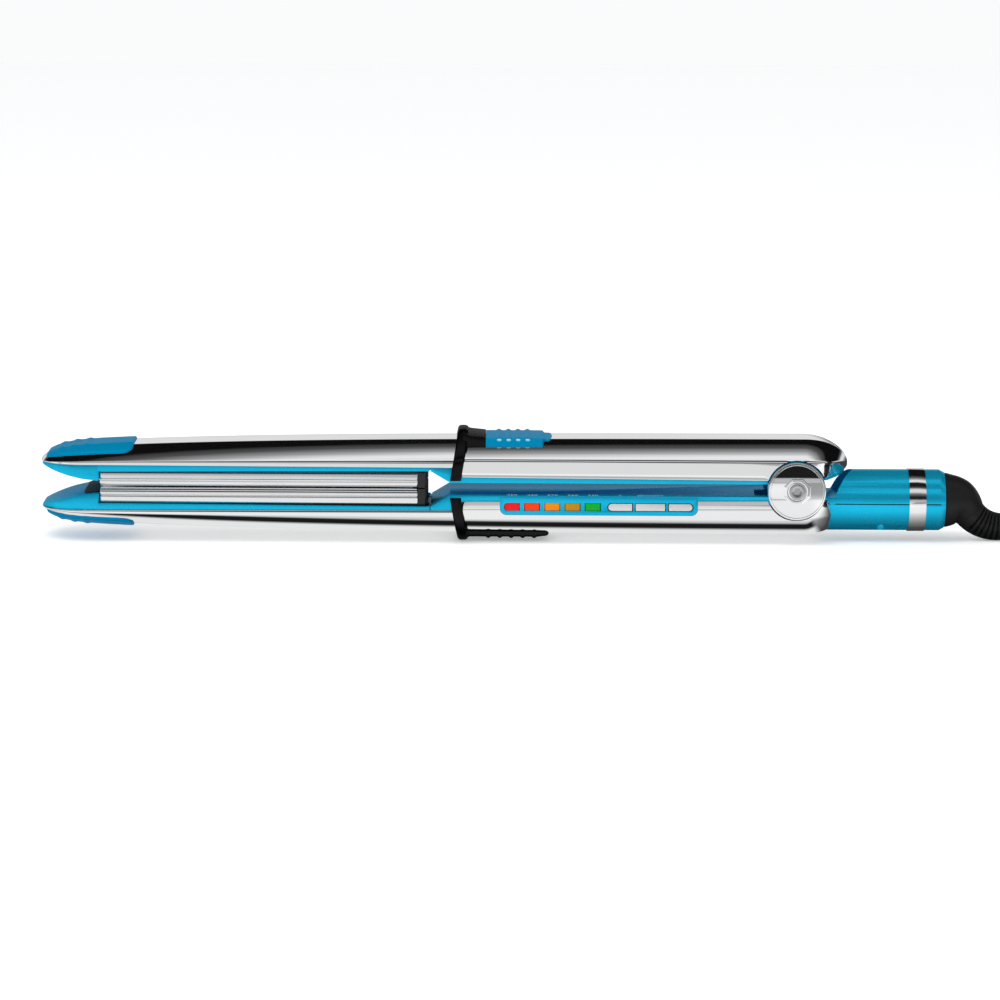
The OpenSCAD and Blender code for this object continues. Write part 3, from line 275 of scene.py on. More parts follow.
# %% [markdown]
# ## Node groups that several finishes share
# Two effects come back in many finishes: a fine grain that breaks up a moulded or plated
# surface, and soft marks from handling that change the gloss in patches. Each is built once
# as a shader node group and placed in a material with its own values.

# %% Shared node groups
def new_group(name, inputs, outputs):
    """An empty shader node group with float inputs as {name: default} and named float outputs."""
    group = bpy.data.node_groups.new(name, "ShaderNodeTree")
    for label, value in inputs.items():
        socket = group.interface.new_socket(label, in_out="INPUT", socket_type="NodeSocketFloat")
        socket.default_value = value
    for label in outputs:
        group.interface.new_socket(label, in_out="OUTPUT", socket_type="NodeSocketFloat")
    return group, group.nodes.new("NodeGroupInput"), group.nodes.new("NodeGroupOutput")


def add(tree, kind, links=(), **settings):
    """One node with its settings; links are (output socket, input name or index)."""
    node = tree.nodes.new(kind)
    for key, value in settings.items():
        if hasattr(node, key):
            setattr(node, key, value)
        else:
            node.inputs[key.replace("_", " ")].default_value = value
    for output, name in links:
        tree.links.new(output, node.inputs[name])
    return node


def times(tree, output, factor):
    """A node that multiplies an output by a number."""
    node = add(tree, "ShaderNodeMath", [(output, 0)], operation="MULTIPLY")
    node.inputs[1].default_value = factor
    return node


def grain_group():
    """Height of a fine grain: noise at the given scale, plus a third of the same noise four times finer."""
    group, given, result = new_group("fine grain", {"Scale": 900.0, "Strength": 1.0}, ["Height"])
    place = add(group, "ShaderNodeTexCoord")
    at = (place.outputs["Object"], "Vector")
    coarse = add(group, "ShaderNodeTexNoise", [at, (given.outputs["Scale"], "Scale")])
    finer = times(group, given.outputs["Scale"], 4.0)
    fine = add(group, "ShaderNodeTexNoise", [at, (finer.outputs[0], "Scale")])
    both = add(group, "ShaderNodeMath", [(fine.outputs["Fac"], 0), (coarse.outputs["Fac"], 2)],
               operation="MULTIPLY_ADD")
    both.inputs[1].default_value = 0.33
    scaled = add(group, "ShaderNodeMath", [(both.outputs[0], 0), (given.outputs["Strength"], 1)],
                 operation="MULTIPLY")
    group.links.new(scaled.outputs[0], result.inputs["Height"])
    return group


def marks_group():
    """Mask of soft handling marks: stretched noise, cut to patches between Low and High."""
    group, given, result = new_group("handling marks", {"Scale": 30.0, "Low": 0.45, "High": 0.75}, ["Mask"])
    place = add(group, "ShaderNodeTexCoord")
    stretch = add(group, "ShaderNodeMapping", [(place.outputs["Object"], "Vector")])
    stretch.inputs["Scale"].default_value = (0.5, 1.0, 1.3)
    noise = add(group, "ShaderNodeTexNoise",
                [(stretch.outputs[0], "Vector"), (given.outputs["Scale"], "Scale")],
                Detail=6.0, Roughness=0.62)
    patches = add(group, "ShaderNodeMapRange",
                  [(noise.outputs["Fac"], "Value"), (given.outputs["Low"], "From Min"),
                   (given.outputs["High"], "From Max")], interpolation_type="SMOOTHSTEP")
    group.links.new(patches.outputs["Result"], result.inputs["Mask"])
    return group


GRAIN, MARKS = grain_group(), marks_group()

# %% [markdown]
# ## Finishes
# A finish is one Principled shader. Its colour drifts a little between two close tones, its
# roughness rises where hands have dulled it, and a faint bump gives the grain of the mould or
# the plating. What is the same all over is set on the shader's own sockets.

# %% Finish from a few numbers
RELIEF_DEPTH = 0.0002


def finish(name, colour, second=None, rough=0.3, worn=0.08, marks=30.0, grain=1200.0, bump=0.02, metallic=0.0,
           specular=0.5, edge=(1, 1, 1), subsurface=0.0, glow=0.0):
    """A Principled material: colour drifts to second in patches, where roughness rises from rough to
    rough plus worn; edge is the colour that a glancing reflection takes; glow is light of its own colour."""
    material = bpy.data.materials.new(name)
    material.use_nodes = True
    tree = material.node_tree
    shader = tree.nodes["Principled BSDF"]
    mask = add(tree, "ShaderNodeGroup", node_tree=MARKS)
    mask.inputs["Scale"].default_value = marks
    tint = add(tree, "ShaderNodeMix", [(mask.outputs["Mask"], "Factor")], data_type="RGBA")
    tint.inputs["A"].default_value = (*colour, 1)
    tint.inputs["B"].default_value = (*(second or [0.82 * c for c in colour]), 1)
    dull = add(tree, "ShaderNodeMapRange", [(mask.outputs["Mask"], "Value")],
               To_Min=rough, To_Max=rough + worn)
    height = add(tree, "ShaderNodeGroup", node_tree=GRAIN)
    height.inputs["Scale"].default_value = grain
    relief = add(tree, "ShaderNodeBump", [(height.outputs["Height"], "Height")], Strength=bump,
                 Distance=RELIEF_DEPTH)
    for output, socket in ((tint.outputs["Result"], "Base Color"), (dull.outputs["Result"], "Roughness"),
                           (relief.outputs["Normal"], "Normal")):
        tree.links.new(output, shader.inputs[socket])
    for socket, value in {"Metallic": metallic, "Specular IOR Level": specular, "Specular Tint": (*edge, 1),
                          "Subsurface Weight": subsurface}.items():
        shader.inputs[socket].default_value = value
    if glow:
        shader.inputs["Emission Color"].default_value = (*colour, 1)
        shader.inputs["Emission Strength"].default_value = glow
    return material


chrome = finish("bright chrome plating", (0.90, 0.905, 0.91), (0.86, 0.87, 0.88), rough=0.045, worn=0.05,
                bump=0.004, metallic=1.0)
turned_chrome = finish("turned chrome trim", (0.86, 0.865, 0.87), rough=0.09, worn=0.06, metallic=1.0)
blue_metal = finish("metallic blue moulding", (0.014, 0.54, 0.84), (0.010, 0.49, 0.78), rough=0.27, worn=0.07,
                    bump=0.004, metallic=0.66, specular=0.2, edge=(0.02, 0.46, 0.62), grain=2600.0)
blue_pad = finish("soft blue pad", (0.0, 0.31, 0.58), (0.0, 0.27, 0.52), rough=0.4, worn=0.1, bump=0.25,
                  grain=1800.0, metallic=0.35, specular=0.1, edge=(0.04, 0.32, 0.5))
gloss_black = finish("gloss black moulding", (0.014, 0.014, 0.015), (0.022, 0.022, 0.023), rough=0.24,
                     worn=0.14, bump=0.03, metallic=0.9, edge=(0.14, 0.14, 0.15))
soft_black = finish("satin black rubber", (0.018, 0.018, 0.019), (0.030, 0.030, 0.031), rough=0.38, worn=0.16,
                    bump=0.2, grain=2200.0, metallic=0.35, specular=0.4, edge=(0.4, 0.4, 0.4))
cord_black = finish("cord sheath", (0.012, 0.012, 0.014), (0.018, 0.018, 0.020), rough=0.36, worn=0.12,
                    bump=0.12, grain=1500.0, edge=(0.6, 0.6, 0.6))
grey_cushion = finish("dark grey cushion", (0.045, 0.046, 0.048), rough=0.55, worn=0.12, bump=0.3,
                      grain=2000.0, edge=(0.4, 0.4, 0.4))
plate_metal = finish("polished coated plate", (0.86, 0.865, 0.87), (0.80, 0.81, 0.82), rough=0.10, worn=0.05,
                     bump=0.004, metallic=1.0)
black_carrier = finish("heat-proof black moulding", (0.012, 0.012, 0.013), rough=0.4, worn=0.12, bump=0.12)
steel = finish("zinc-plated steel", (0.56, 0.57, 0.58), rough=0.25, worn=0.12, bump=0.04, metallic=1.0)
wire_steel = finish("drawn spring wire", (0.34, 0.35, 0.37), rough=0.3, worn=0.1, bump=0.04, metallic=1.0)
brass = finish("bare brass", (0.80, 0.58, 0.24), (0.66, 0.46, 0.2), rough=0.22, worn=0.14, bump=0.04,
               metallic=1.0)
nylon = finish("natural nylon", (0.72, 0.69, 0.62), rough=0.45, bump=0.1)
silicone = finish("silicone lead", (0.66, 0.64, 0.6), rough=0.5, bump=0.1)
board_green = finish("solder mask", (0.01, 0.12, 0.05), rough=0.3, bump=0.05)
chip_black = finish("moulded chip", (0.02, 0.02, 0.022), rough=0.5, bump=0.15)
heater_white = finish("heater tile", (0.74, 0.74, 0.7), rough=0.5, bump=0.15)
fuse_tan = finish("fuse body", (0.45, 0.3, 0.16), rough=0.4, bump=0.1)
key_silver = finish("silver key", (0.84, 0.83, 0.84), rough=0.3, worn=0.06, bump=0.03, metallic=0.6)
white_print = finish("white print", (0.78, 0.8, 0.82), rough=0.5, worn=0.05, bump=0.0)
# Pale cyan for the studs that are painted highlights at the ends of the thumb pad's ridges.
painted_highlight_cyan = finish("painted highlight stud", (0.30, 0.72, 0.85))

# Translucent lenses: a deep colour with some light inside and a clear face.
LENSES = {node: finish(name, colour, [0.8 * c for c in colour], rough=0.14, worn=0.05,
                       edge=(0.35, 0.35, 0.35), subsurface=0.2, glow=0.3)
          for node, name, colour in (
              ("lamp_red", "red lens", (0.80, 0.008, 0.010)),
              ("lamp_coral", "orange-red lens", (0.88, 0.045, 0.002)),
              ("lamp_orange", "orange lens", (0.84, 0.22, 0.002)),
              ("lamp_amber", "amber lens", (0.50, 0.21, 0.003)),
              ("lamp_green", "green lens", (0.003, 0.36, 0.02)))}
print("finishes:", len(bpy.data.materials))


# %% Put a piece in its place
def wear(obj, material):
    """Gives an object one material in place of any it has."""
    obj.data.materials.clear()
    obj.data.materials.append(material)
    return obj


def dress(piece, material, body, node=None):
    """Gives a piece its material and body; it may stand in for a modelled node."""
    wear(piece, material)
    if node:
        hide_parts(node)
    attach(piece, body)


wear(cord, cord_black)

# %% [markdown]
# ## The arm's form
# Both arms share one form, mirrored about the middle plane. Along the arm the crown rises
# gently from the nose, stays level over the handle and drops over the rounded rear. Across it
# there is a narrow flat strip, then a bevel that steepens towards the foot, then an upright
# side. Seen from above the nose is a blunt ellipse and the rear a pointed arch. The formulas
# repeat the model's, and take whole arrays of places at once.

# %% Formulas of the arm
NOSE_REACH, HALF_W, CROWN_REAR, CROWN_TAPER, TAPER_LEN = 295.5, 18.0, 19.0, 5.2, 80.0
NOSE_DROP, NOSE_DROP_LEN, NOSE_ROUND, NOSE_HALF, CROWN_FLAT = 4.2, 6.0, 17.0, 4.0, 8.0
EDGE_NOSE, EDGE_COLLAR, EDGE_HANDLE, EDGE_HINGE, EDGE_LIFT = 8.9, 8.4, 4.7, 3.9, 4.4
BEVEL_FOOT, REAR_ROUND, REAR_START, REAR_DROP = 11.5, 17.3, 3.6, 10.6
COLLAR_X, SHELL_WALL, TIP_PAD_T, TIP_PAD_REAR = 130.6, 1.2, 0.9, 259.0


def round_share(x):
    """Share of the rear rounding behind its start, from 0 to 1."""
    return np.clip((x - REAR_START) / REAR_ROUND, 0, 1)


def dome(u):
    """Drop of a quarter circle at share u of its radius."""
    return 1 - np.sqrt(np.maximum(0, 1 - u * u))


def crown(x):
    """Crown height: an exponential rise from the nose, less a drop there and a quarter circle behind."""
    d = x + NOSE_REACH
    return (CROWN_REAR - CROWN_TAPER * np.exp(-d / TAPER_LEN) - NOSE_DROP * np.exp(-d / NOSE_DROP_LEN)
            - REAR_DROP * dome(round_share(x)))


def mix(a, b, t):
    """Straight blend from a to b."""
    return a + (b - a) * t


def edge_at(x):
    """Height of the shell's lower edge: a straight line each side of the collar, lifted at the rear."""
    front = mix(EDGE_NOSE, EDGE_COLLAR, np.clip((x + NOSE_REACH) / (NOSE_REACH - COLLAR_X), 0, 1))
    handle = mix(EDGE_HANDLE, EDGE_HINGE, np.clip((x + COLLAR_X) / COLLAR_X, 0, 1))
    return np.where(x < -COLLAR_X, front, handle + EDGE_LIFT * dome(round_share(x)))


def foot(x):
    """Height of the bevel's foot."""
    front = mix(edge_at(x), crown(x), 0.2)
    return np.where(x < -COLLAR_X, front, np.minimum(BEVEL_FOOT, mix(edge_at(x), crown(x), 0.49)))


def plan(x):
    """Half width seen from above: an ellipse quarter at the nose, 1 - u^1.6 to the power 0.8 at the rear."""
    d = np.maximum(0, x + NOSE_REACH)
    nose = NOSE_HALF + (HALF_W - NOSE_HALF) * (1 - dome(np.maximum(0, 1 - d / NOSE_ROUND)))
    rear = HALF_W * np.maximum(1e-4, 1 - round_share(x) ** 1.6) ** 0.8
    return np.minimum(nose, rear)


def bevel_drop(u):
    """Share of the drop from crown to foot at share u across the bevel."""
    return 0.6 * u + 0.4 * u * u


def surface_z(x, y):
    """Height of the crown strip or the bevel at place x and distance y from the middle."""
    w = plan(x)
    u = np.clip((np.abs(y) / w - CROWN_FLAT / HALF_W) / (1 - CROWN_FLAT / HALF_W), 0, 1)
    return crown(x) - (crown(x) - foot(x)) * bevel_drop(u)


def placed(points, lower=False):
    """Points drawn about the hinge axis, moved to the frame; a lower one is mirrored in the middle plane."""
    moved = np.array(points, float)
    if lower:
        moved[..., 2] *= -1
    return moved + HINGE


# %% [markdown]
# ### Rounded outlines
# Plated edges are never knife-sharp. An outline is given by its corners and a radius for each;
# a short curve then replaces every corner, and two extra points beside it keep the flats flat.

# %% Round the corners of an outline
def rounded(corners, radii, steps=5):
    """Each corner of (places, corners, 2) becomes a parabola from one radius before to one after it."""

    def towards(other):
        span = np.linalg.norm(other - corners, axis=2, keepdims=True)
        reach = np.minimum(np.asarray(radii)[None, :, None], 0.42 * span)
        return corners + (other - corners) * reach / np.maximum(span, 1e-9)

    start, end = towards(np.roll(corners, 1, axis=1)), towards(np.roll(corners, -1, axis=1))
    t = np.linspace(0, 1, steps)[None, None, :, None]
    start, middle, end = start[:, :, None], corners[:, :, None], end[:, :, None]
    curve = (1 - t) ** 2 * start + 2 * t * (1 - t) * middle + t**2 * end
    return curve.reshape(len(corners), -1, 2)


def across_section(x, thick, bulge=0.0, bevel_steps=9):
    """Closed outline of a shell at each place x: outside from the left edge over the crown, back inside."""
    w, top, low, base = plan(x), crown(x), edge_at(x), foot(x)
    u = np.linspace(0, 1, bevel_steps)[None, :]

    def half(w, top, base):
        y = mix((w * CROWN_FLAT / HALF_W)[:, None], w[:, None], u)
        z = top[:, None] - (top - base)[:, None] * bevel_drop(u)
        return y, z

    y_out, z_out = half(w, top, base)
    w_in = np.maximum(0.4 * w, w - thick)
    top_in = np.maximum(low + 0.12, top - thick)
    base_in = np.minimum(base, mix(low, top_in, 0.8))
    y_in, z_in = half(w_in, top_in, base_in)
    side = np.stack([w + bulge, mix(low, base, 0.5)], -1)[:, None]
    right = np.concatenate([np.stack([y_out, z_out], -1), side, np.stack([w, low], -1)[:, None]], 1)
    right_in = np.concatenate([np.stack([y_in, z_in], -1), np.stack([w_in, low], -1)[:, None]], 1)
    flip = np.array([-1.0, 1.0])
    outside = np.concatenate([right[:, ::-1] * flip, right], 1)
    inside = np.concatenate([right_in[:, ::-1], right_in * flip], 1)
    corners = np.concatenate([outside, inside], 1)
    radii = np.array([0.25, 2.0, 0.7] + [0.6] * (bevel_steps - 2) + [0.9])
    return rounded(corners, np.concatenate([radii, radii[::-1], np.full(2 * bevel_steps + 2, 0.2)]))


arm_places = np.unique(np.concatenate([
    -NOSE_REACH + 17 * np.linspace(0, 1, 36) ** 2, np.linspace(-NOSE_REACH + 17, -COLLAR_X - 0.2, 60),
    np.linspace(-COLLAR_X + 0.2, REAR_START, 50),
    REAR_START + REAR_ROUND * np.sin(np.linspace(0, np.pi / 2, 30)) * 0.995]))


def shell(name, lower):
    """Chromed shell: the rounded section carried along the arm."""
    outline = across_section(arm_places, SHELL_WALL, bulge=0.25 if lower else 0.0)
    grid = np.concatenate([np.broadcast_to(arm_places[:, None, None], (*outline.shape[:2], 1)), outline], -1)
    return grid_piece(name, placed(grid, lower), sharp_angle=50)


upper_shell = shell("upper_chrome_shell", lower=False)
lower_shell = shell("lower_chrome_shell", lower=True)
print("shell faces:", len(upper_shell.data.polygons))

# %% [markdown]
# ### Openings in the shells
# The shells are notched round the hinge caps, the lower one is cut away for the control panel
# and for the tail. Solid cutters taken out with Boolean modifiers leave clean edges.

# %% Cutters
NOTCH_R, PANEL_FRONT, PANEL_REAR, PANEL_DEPTH, PANEL_R = 11.9, 115.6, 38.6, 9.9, 2.6
TAIL_R, TAIL_DROP, SHELL_GAP = 12.0, 6.05, 0.1


def at_x(x, yz):
    """Points (x, y, z) from one place along X and an outline in y and z."""
    return np.column_stack([np.full(len(yz), x), yz])


def disc_grid(radii, places, centre=(0, 0), sides=96, axis="y"):
    """Grid of a body of revolution about the Y or X axis: one ring per radius and place."""
    a, b = np.outer(radii, np.cos(full_turn(sides))), np.outer(radii, np.sin(full_turn(sides)))
    along = np.broadcast_to(np.asarray(places, float)[:, None], a.shape)
    if axis == "y":
        return np.stack([a + centre[0], along, b + centre[1]], -1)
    return np.stack([along, a + centre[0], b + centre[1]], -1)


def rounded_rectangle(x0, x1, z0, z1, radius, steps=8):
    """Outline of a rectangle in x and z with rounded corners."""
    corners = [(x1 - radius, z1 - radius), (x0 + radius, z1 - radius), (x0 + radius, z0 + radius),
               (x1 - radius, z0 + radius)]
    quarters = [np.linspace(0, np.pi / 2, steps) + k * np.pi / 2 for k in range(4)]
    return np.concatenate([np.stack([cx + radius * np.cos(angle), cz + radius * np.sin(angle)], -1)
                           for (cx, cz), angle in zip(corners, quarters)])


def prism(name, outline, y0, y1):
    """Closed prism of an outline in x and z, from y0 to y1."""
    grid = np.stack([np.insert(outline, 1, y, axis=1) for y in (y0, y1)])
    return grid_piece(name, placed(grid), smooth=False)


def cut(piece, cutters):
    """Takes the cutters out of a piece and removes them."""
    for cutter in cutters:
        modifier = piece.modifiers.new("cut", "BOOLEAN")
        modifier.operation, modifier.solver, modifier.object = "DIFFERENCE", "EXACT", cutter
        bpy.context.view_layer.objects.active = piece
        bpy.ops.object.modifier_apply(modifier=modifier.name)
    piece.data.shade_smooth()
    piece.data.set_sharp_from_angle(angle=np.radians(50))
    return piece


cutters = [grid_piece("notch", placed(disc_grid([NOTCH_R] * 2, side * np.array([HALF_W - 6, HALF_W + 3]))),
                      smooth=False) for side in (-1, 1)]
cut(upper_shell, cutters)
cutters.append(prism("panel_hole", rounded_rectangle(-PANEL_FRONT - SHELL_GAP, -PANEL_REAR + SHELL_GAP,
                                                     -PANEL_DEPTH - SHELL_GAP, 2, PANEL_R),
                     -HALF_W - 2, -HALF_W + 4))
tail_round = disc_grid([TAIL_R + 0.15] * 2, [2, 60], (0, -TAIL_DROP), axis="x")
cutters.append(grid_piece("tail_hole", placed(tail_round), smooth=False))
cut(lower_shell, cutters)
for cutter in cutters:
    bpy.data.objects.remove(cutter)
dress(upper_shell, chrome, "upper_arm", "upper_shell")
dress(lower_shell, chrome, "lower_arm", "lower_shell")

# %% [markdown]
# ## Plug and strap
# The plug is a moulded two-blade plug for 120 V: a flat body with rounded corners that swells
# from the cord through a ribbed neck. The strap is a thin black band round the waist of the hank.
# Both are lofts of a rounded rectangle along the plug's axis or round the hank.

# %% Plug
BLADE_GAP, RING_SIDES = 12.7, 64
plug_root = TO_PLUG[-1]


def super_ring(half_y, half_z, power, sides=RING_SIDES):
    """Ring in y and z of a superellipse: |y/a|^p + |z/b|^p = 1."""
    unit = np.stack([np.cos(full_turn(sides)), np.sin(full_turn(sides))], -1)
    return np.array([half_y, half_z]) * np.sign(unit) * np.abs(unit) ** (2 / power)


# Stations back from the cord: distance, half width, half height and squareness.
PLUG_STATIONS = np.array([
    [-1.0, 3.15, 3.15, 2], [0.0, 4.1, 4.1, 2], [0.8, 4.3, 4.3, 2], [2.0, 3.6, 3.6, 2], [2.8, 3.7, 3.7, 2],
    [3.6, 5.0, 4.8, 2], [4.4, 5.2, 4.9, 2.1], [5.4, 4.5, 4.3, 2.2], [6.2, 4.6, 4.4, 2.3],
    [7.0, 6.3, 5.5, 2.6], [8.2, 8.2, 6.4, 3.2], [9.8, 10.2, 7.0, 4.2], [12, 11.4, 7.35, 5],
    [16, 11.8, 7.45, 6], [22, 11.9, 7.45, 6], [27.5, 12.0, 7.5, 6.5],
    [29.3, 11.9, 7.4, 6.5], [29.8, 11.5, 7.0, 6], [30.0, 11.0, 6.5, 5.5]])
plug_rows = smooth_path(PLUG_STATIONS, 90)
plug_grid = np.stack([at_x(-back, super_ring(half_y, half_z, max(2.0, power)))
                      for back, half_y, half_z, power in plug_rows])
plug = grid_piece("plug_moulding", plug_grid + plug_root, sharp_angle=50)
dress(plug, soft_black, "lower_arm", "plug_body")


def blade_grid(side):
    """One blade: a thin bar whose free end tapers, as a stack of rounded rectangles."""
    return np.stack([at_x(-back, super_ring(half_y, half_z, 7, 32) + [side * BLADE_GAP / 2, 0])
                     for back, half_y, half_z in ((26.2, 0.72, 3.12), (44.2, 0.72, 3.12), (45.4, 0.6, 2.7),
                                                  (46.0, 0.35, 2.1))])


blades = grids_piece("plug_contacts", [blade_grid(side) + plug_root for side in (-1, 1)], sharp_angle=40)
hole = grid_piece("blade_hole", disc_grid([1.6, 1.6], [-12, 12], (-42.5, 0), sides=32) + plug_root,
                  smooth=False)
cut(blades, [hole])
bpy.data.objects.remove(hole)
dress(blades, brass, "lower_arm", "plug_blades")

# %% [markdown]
# The strap bulges over the cords it holds: its outline is a superellipse whose top and bottom
# are pressed flat by the table and by the last run of the cord.

# %% Strap round the hank
STRAP_HALF, STRAP_TOP, STRAP_T, STRAP_WIDE, STRAP_SIDES = 27.7, 29.0, 1.15, 10.0, 160
strap_x = HANK_X + HANK_RUN / 2
strap_middle = STRAP_TOP / 2 + 1.22


def strap_grid(steps=9):
    """Closed ring: across the band x runs front to rear with rounded edges; round it is a superellipse."""
    edge = np.linspace(-1, 1, steps)
    outside = [(strap_x + STRAP_WIDE / 2 * e, STRAP_T * (1 - 0.5 * abs(e) ** 8)) for e in edge]
    inside = [(x, 0.04) for x, _ in outside[::-1]]
    rings = [at_x(x, super_ring(STRAP_HALF + grow, STRAP_TOP / 2 + grow, 7, STRAP_SIDES))
             for x, grow in outside + inside]
    return np.stack(rings) + [0, 0, strap_middle]


strap = grid_piece("hank_strap", strap_grid(), close_rows=True)
dress(strap, soft_black, "lower_arm", "hank_tie")
print("plug stations:", len(plug_rows))

# %% [markdown]
# ## Nose pads
# A cool-touch pad lies over the crown of each nose, so that the tips can be held. It follows
# the shell at an even thickness, its edges are rounded over, and three ridges run across it
# near the tip. Working it out as the shell's own height plus a thickness keeps it seated.

# %% Pad that follows the shell
def bump(x, middle, half, height):
    """Smooth ridge: a squared cosine of the distance from its middle."""
    return height * np.cos(np.clip((x - middle) / half, -1, 1) * np.pi / 2) ** 2


NOSE_RIDGES, RIDGE_HALF, RIDGE_H = (7.9, 12.9, 17.9), 1.9, 0.42
PAD_CORNER, PAD_SINK, PAD_RIM = 5.0, 0.35, 0.9
nose_places = -NOSE_REACH + np.concatenate([[2.0, 2.1], np.linspace(2.4, 24, 90)])
pad_places = np.concatenate([nose_places, np.linspace(-NOSE_REACH + 25, -TIP_PAD_REAR - 1, 14),
                             -TIP_PAD_REAR - np.array([0.7, 0.45, 0.25, 0.1, 0])])


def nose_pad_grid():
    """Closed pad: a share of the bevel wide, with rounded rear corners. Its height is the shell's plus a
    thickness that falls off as a circle at the rim; the ridges on it fade towards the sides."""
    x, w = pad_places[:, None], plan(pad_places)[:, None]
    share = 0.5 + 0.1 * np.clip((x + NOSE_REACH) / 6, 0, 1)
    from_rear = np.clip((x[-1] - x) / PAD_CORNER, 0, 1)
    half = mix(w * CROWN_FLAT / HALF_W, w, share) - PAD_CORNER * dome(1 - from_rear) * 0.9
    across = np.sin(np.linspace(-np.pi / 2, np.pi / 2, 61))[None, :]
    y = half * across
    rim = np.minimum(half * (1 - np.abs(across)), np.minimum(x[-1] - x, x - x[0]))
    fall = 1 - dome(1 - np.clip(rim / PAD_RIM, 0, 1))
    ridges = sum(bump(x, middle - NOSE_REACH, RIDGE_HALF, RIDGE_H) for middle in NOSE_RIDGES)
    thickness = TIP_PAD_T - 0.02 + ridges * (1 - (y / 15.0) ** 4)
    ground, x = surface_z(x, y), np.broadcast_to(x, y.shape)
    outer = np.stack([x, y, ground - PAD_SINK + (thickness + PAD_SINK) * fall], -1)
    inner = np.stack([x, y, ground - PAD_SINK - 0.1], -1)[:, ::-1]
    return np.concatenate([outer, inner], 1)


for arm in ("upper", "lower"):
    pad = grid_piece(arm + "_nose_pad_soft", placed(nose_pad_grid(), arm == "lower"), sharp_angle=60)
    dress(pad, blue_pad, arm + "_arm", arm + "_tip_pad")

# %% [markdown]
# ## Collars, thumb pad and finger rest
# A black collar wraps each arm where the hot jaws end, leaning forward towards its feet. The
# upper one carries a block that runs into a blue ridged thumb pad, the lower one a long black
# finger rest. A collar is a rounded outline carried along a slanting line; the rests are lofts
# of a rounded trapezium standing on the crown.

# %% Collars
COLLAR_SLANT, COLLAR_WALL, COLLAR_FOOT, COLLAR_PEAK = 3.6, 1.6, 3.4, 22.0
# Along the collar's width: place, and how far the outline is drawn in there to round the edge.
COLLAR_EDGE = [(-1.55, 1.3), (-1.5, 0.9), (-1.3, 0.45), (-0.9, 0.12), (-0.5, 0.0), (0.0, 0.0), (0.6, 0.0),
               (1.2, 0.0), (1.7, 0.1), (2.2, 0.4), (2.5, 0.8), (2.65, 1.2), (2.7, 1.6)]
flip_y = np.array([-1, 1])


def collar_grid():
    """Rings of a collar: rounded outside, back along the shell's outline; x leans with the height."""
    top, w = float(crown(-COLLAR_X + 0.2)), HALF_W
    inner = np.array([[w + 0.02, COLLAR_FOOT], [w + 0.02, BEVEL_FOOT - 0.2],
                      [0.72 * w, mix(BEVEL_FOOT, top, 0.72)], [0.44 * w, top + 0.02]])
    radii = [2.2, 3.0, 2.4, 0.6, 0.2, 0.4, 0.4, 0.4]
    rows = []
    for offset, drop in COLLAR_EDGE:
        g, crest = min(drop, 1.45), COLLAR_PEAK - drop
        side = w + COLLAR_WALL - 0.55 * g
        outer = np.array([[0.42 * w, crest], [0.8 * w, mix(BEVEL_FOOT, crest, 0.5)],
                          [side, BEVEL_FOOT - 0.4 * g], [side, COLLAR_FOOT]])
        right = np.concatenate([outer, inner])
        yz = rounded(np.concatenate([right, right[::-1] * flip_y])[None], radii + radii[::-1])[0]
        rows.append(np.column_stack([-COLLAR_X + offset - COLLAR_SLANT * (1 - yz[:, 1] / COLLAR_PEAK), yz]))
    return np.stack(rows)


# %% Rests that stand on the crown
def rest_grid(x, half, height, edge=1.2):
    """Rings of a rest at places x: rounded top corners, and sides that go down into the shell."""
    rows = []
    for x, half, height in np.column_stack([x, np.broadcast_to(half, x.shape), height]):
        low = min(float(surface_z(np.array([x]), np.array([half]))[0]) - 0.3, height - 0.3)
        middle = min(float(crown(np.array([x]))[0]) - 0.3, height - 0.25)
        outline = np.array([[half, low], [half, height - 0.01], [0, height + 0.12], [-half, height - 0.01],
                            [-half, low], [-CROWN_FLAT + 0.5, middle], [CROWN_FLAT - 0.5, middle]])
        r = min(edge, 0.45 * (height - low + 0.2))
        rows.append(at_x(x, rounded(outline[None], [0.05, r, 3.0, r, 0.05, 0.2, 0.2], steps=7)[0]))
    return np.stack(rows)


def past(x, start, length):
    """Share from 0 to 1 of the way past a start."""
    return np.clip((x - start) / length, 0, 1)


REST_FRONT, REST_H, THUMB_HALF = -130.2, 21.35, 12.2
THUMB_RIDGES = [-116.2 + 3.73 * i for i in range(4)]
FINGER_RIDGES = [-120.2 + 4.5 * i for i in range(5)]

x = np.linspace(REST_FRONT, -121.35, 24)
thumb_block = rest_grid(x, THUMB_HALF, REST_H - 1.25 * past(x, REST_FRONT, 2.8) - 0.6 * past(x, -127.4, 6))
upper_collar = grids_piece("upper_collar_black", [placed(collar_grid()), placed(thumb_block)], sharp_angle=45)
dress(upper_collar, gloss_black, "upper_arm", "upper_collar")

x = np.concatenate([np.linspace(REST_FRONT, -97.2, 120), [-97.0, -96.8, -96.6, -96.5]])
finger_height = (REST_H - 1.0 * past(x, REST_FRONT, 2.8) + sum(bump(x, m, 1.25, 0.6) for m in FINGER_RIDGES)
                 - 0.6 * past(x, -101, 4.5) - 0.5 * past(x, -97.3, 0.8) ** 2)
finger_block = rest_grid(x, 8.8 - 1.2 * past(x, -98, 1.5) ** 2, finger_height)
lower_collar = grids_piece("lower_collar_black", [placed(collar_grid(), True), placed(finger_block, True)],
                           sharp_angle=45)
dress(lower_collar, gloss_black, "lower_arm", "lower_collar")

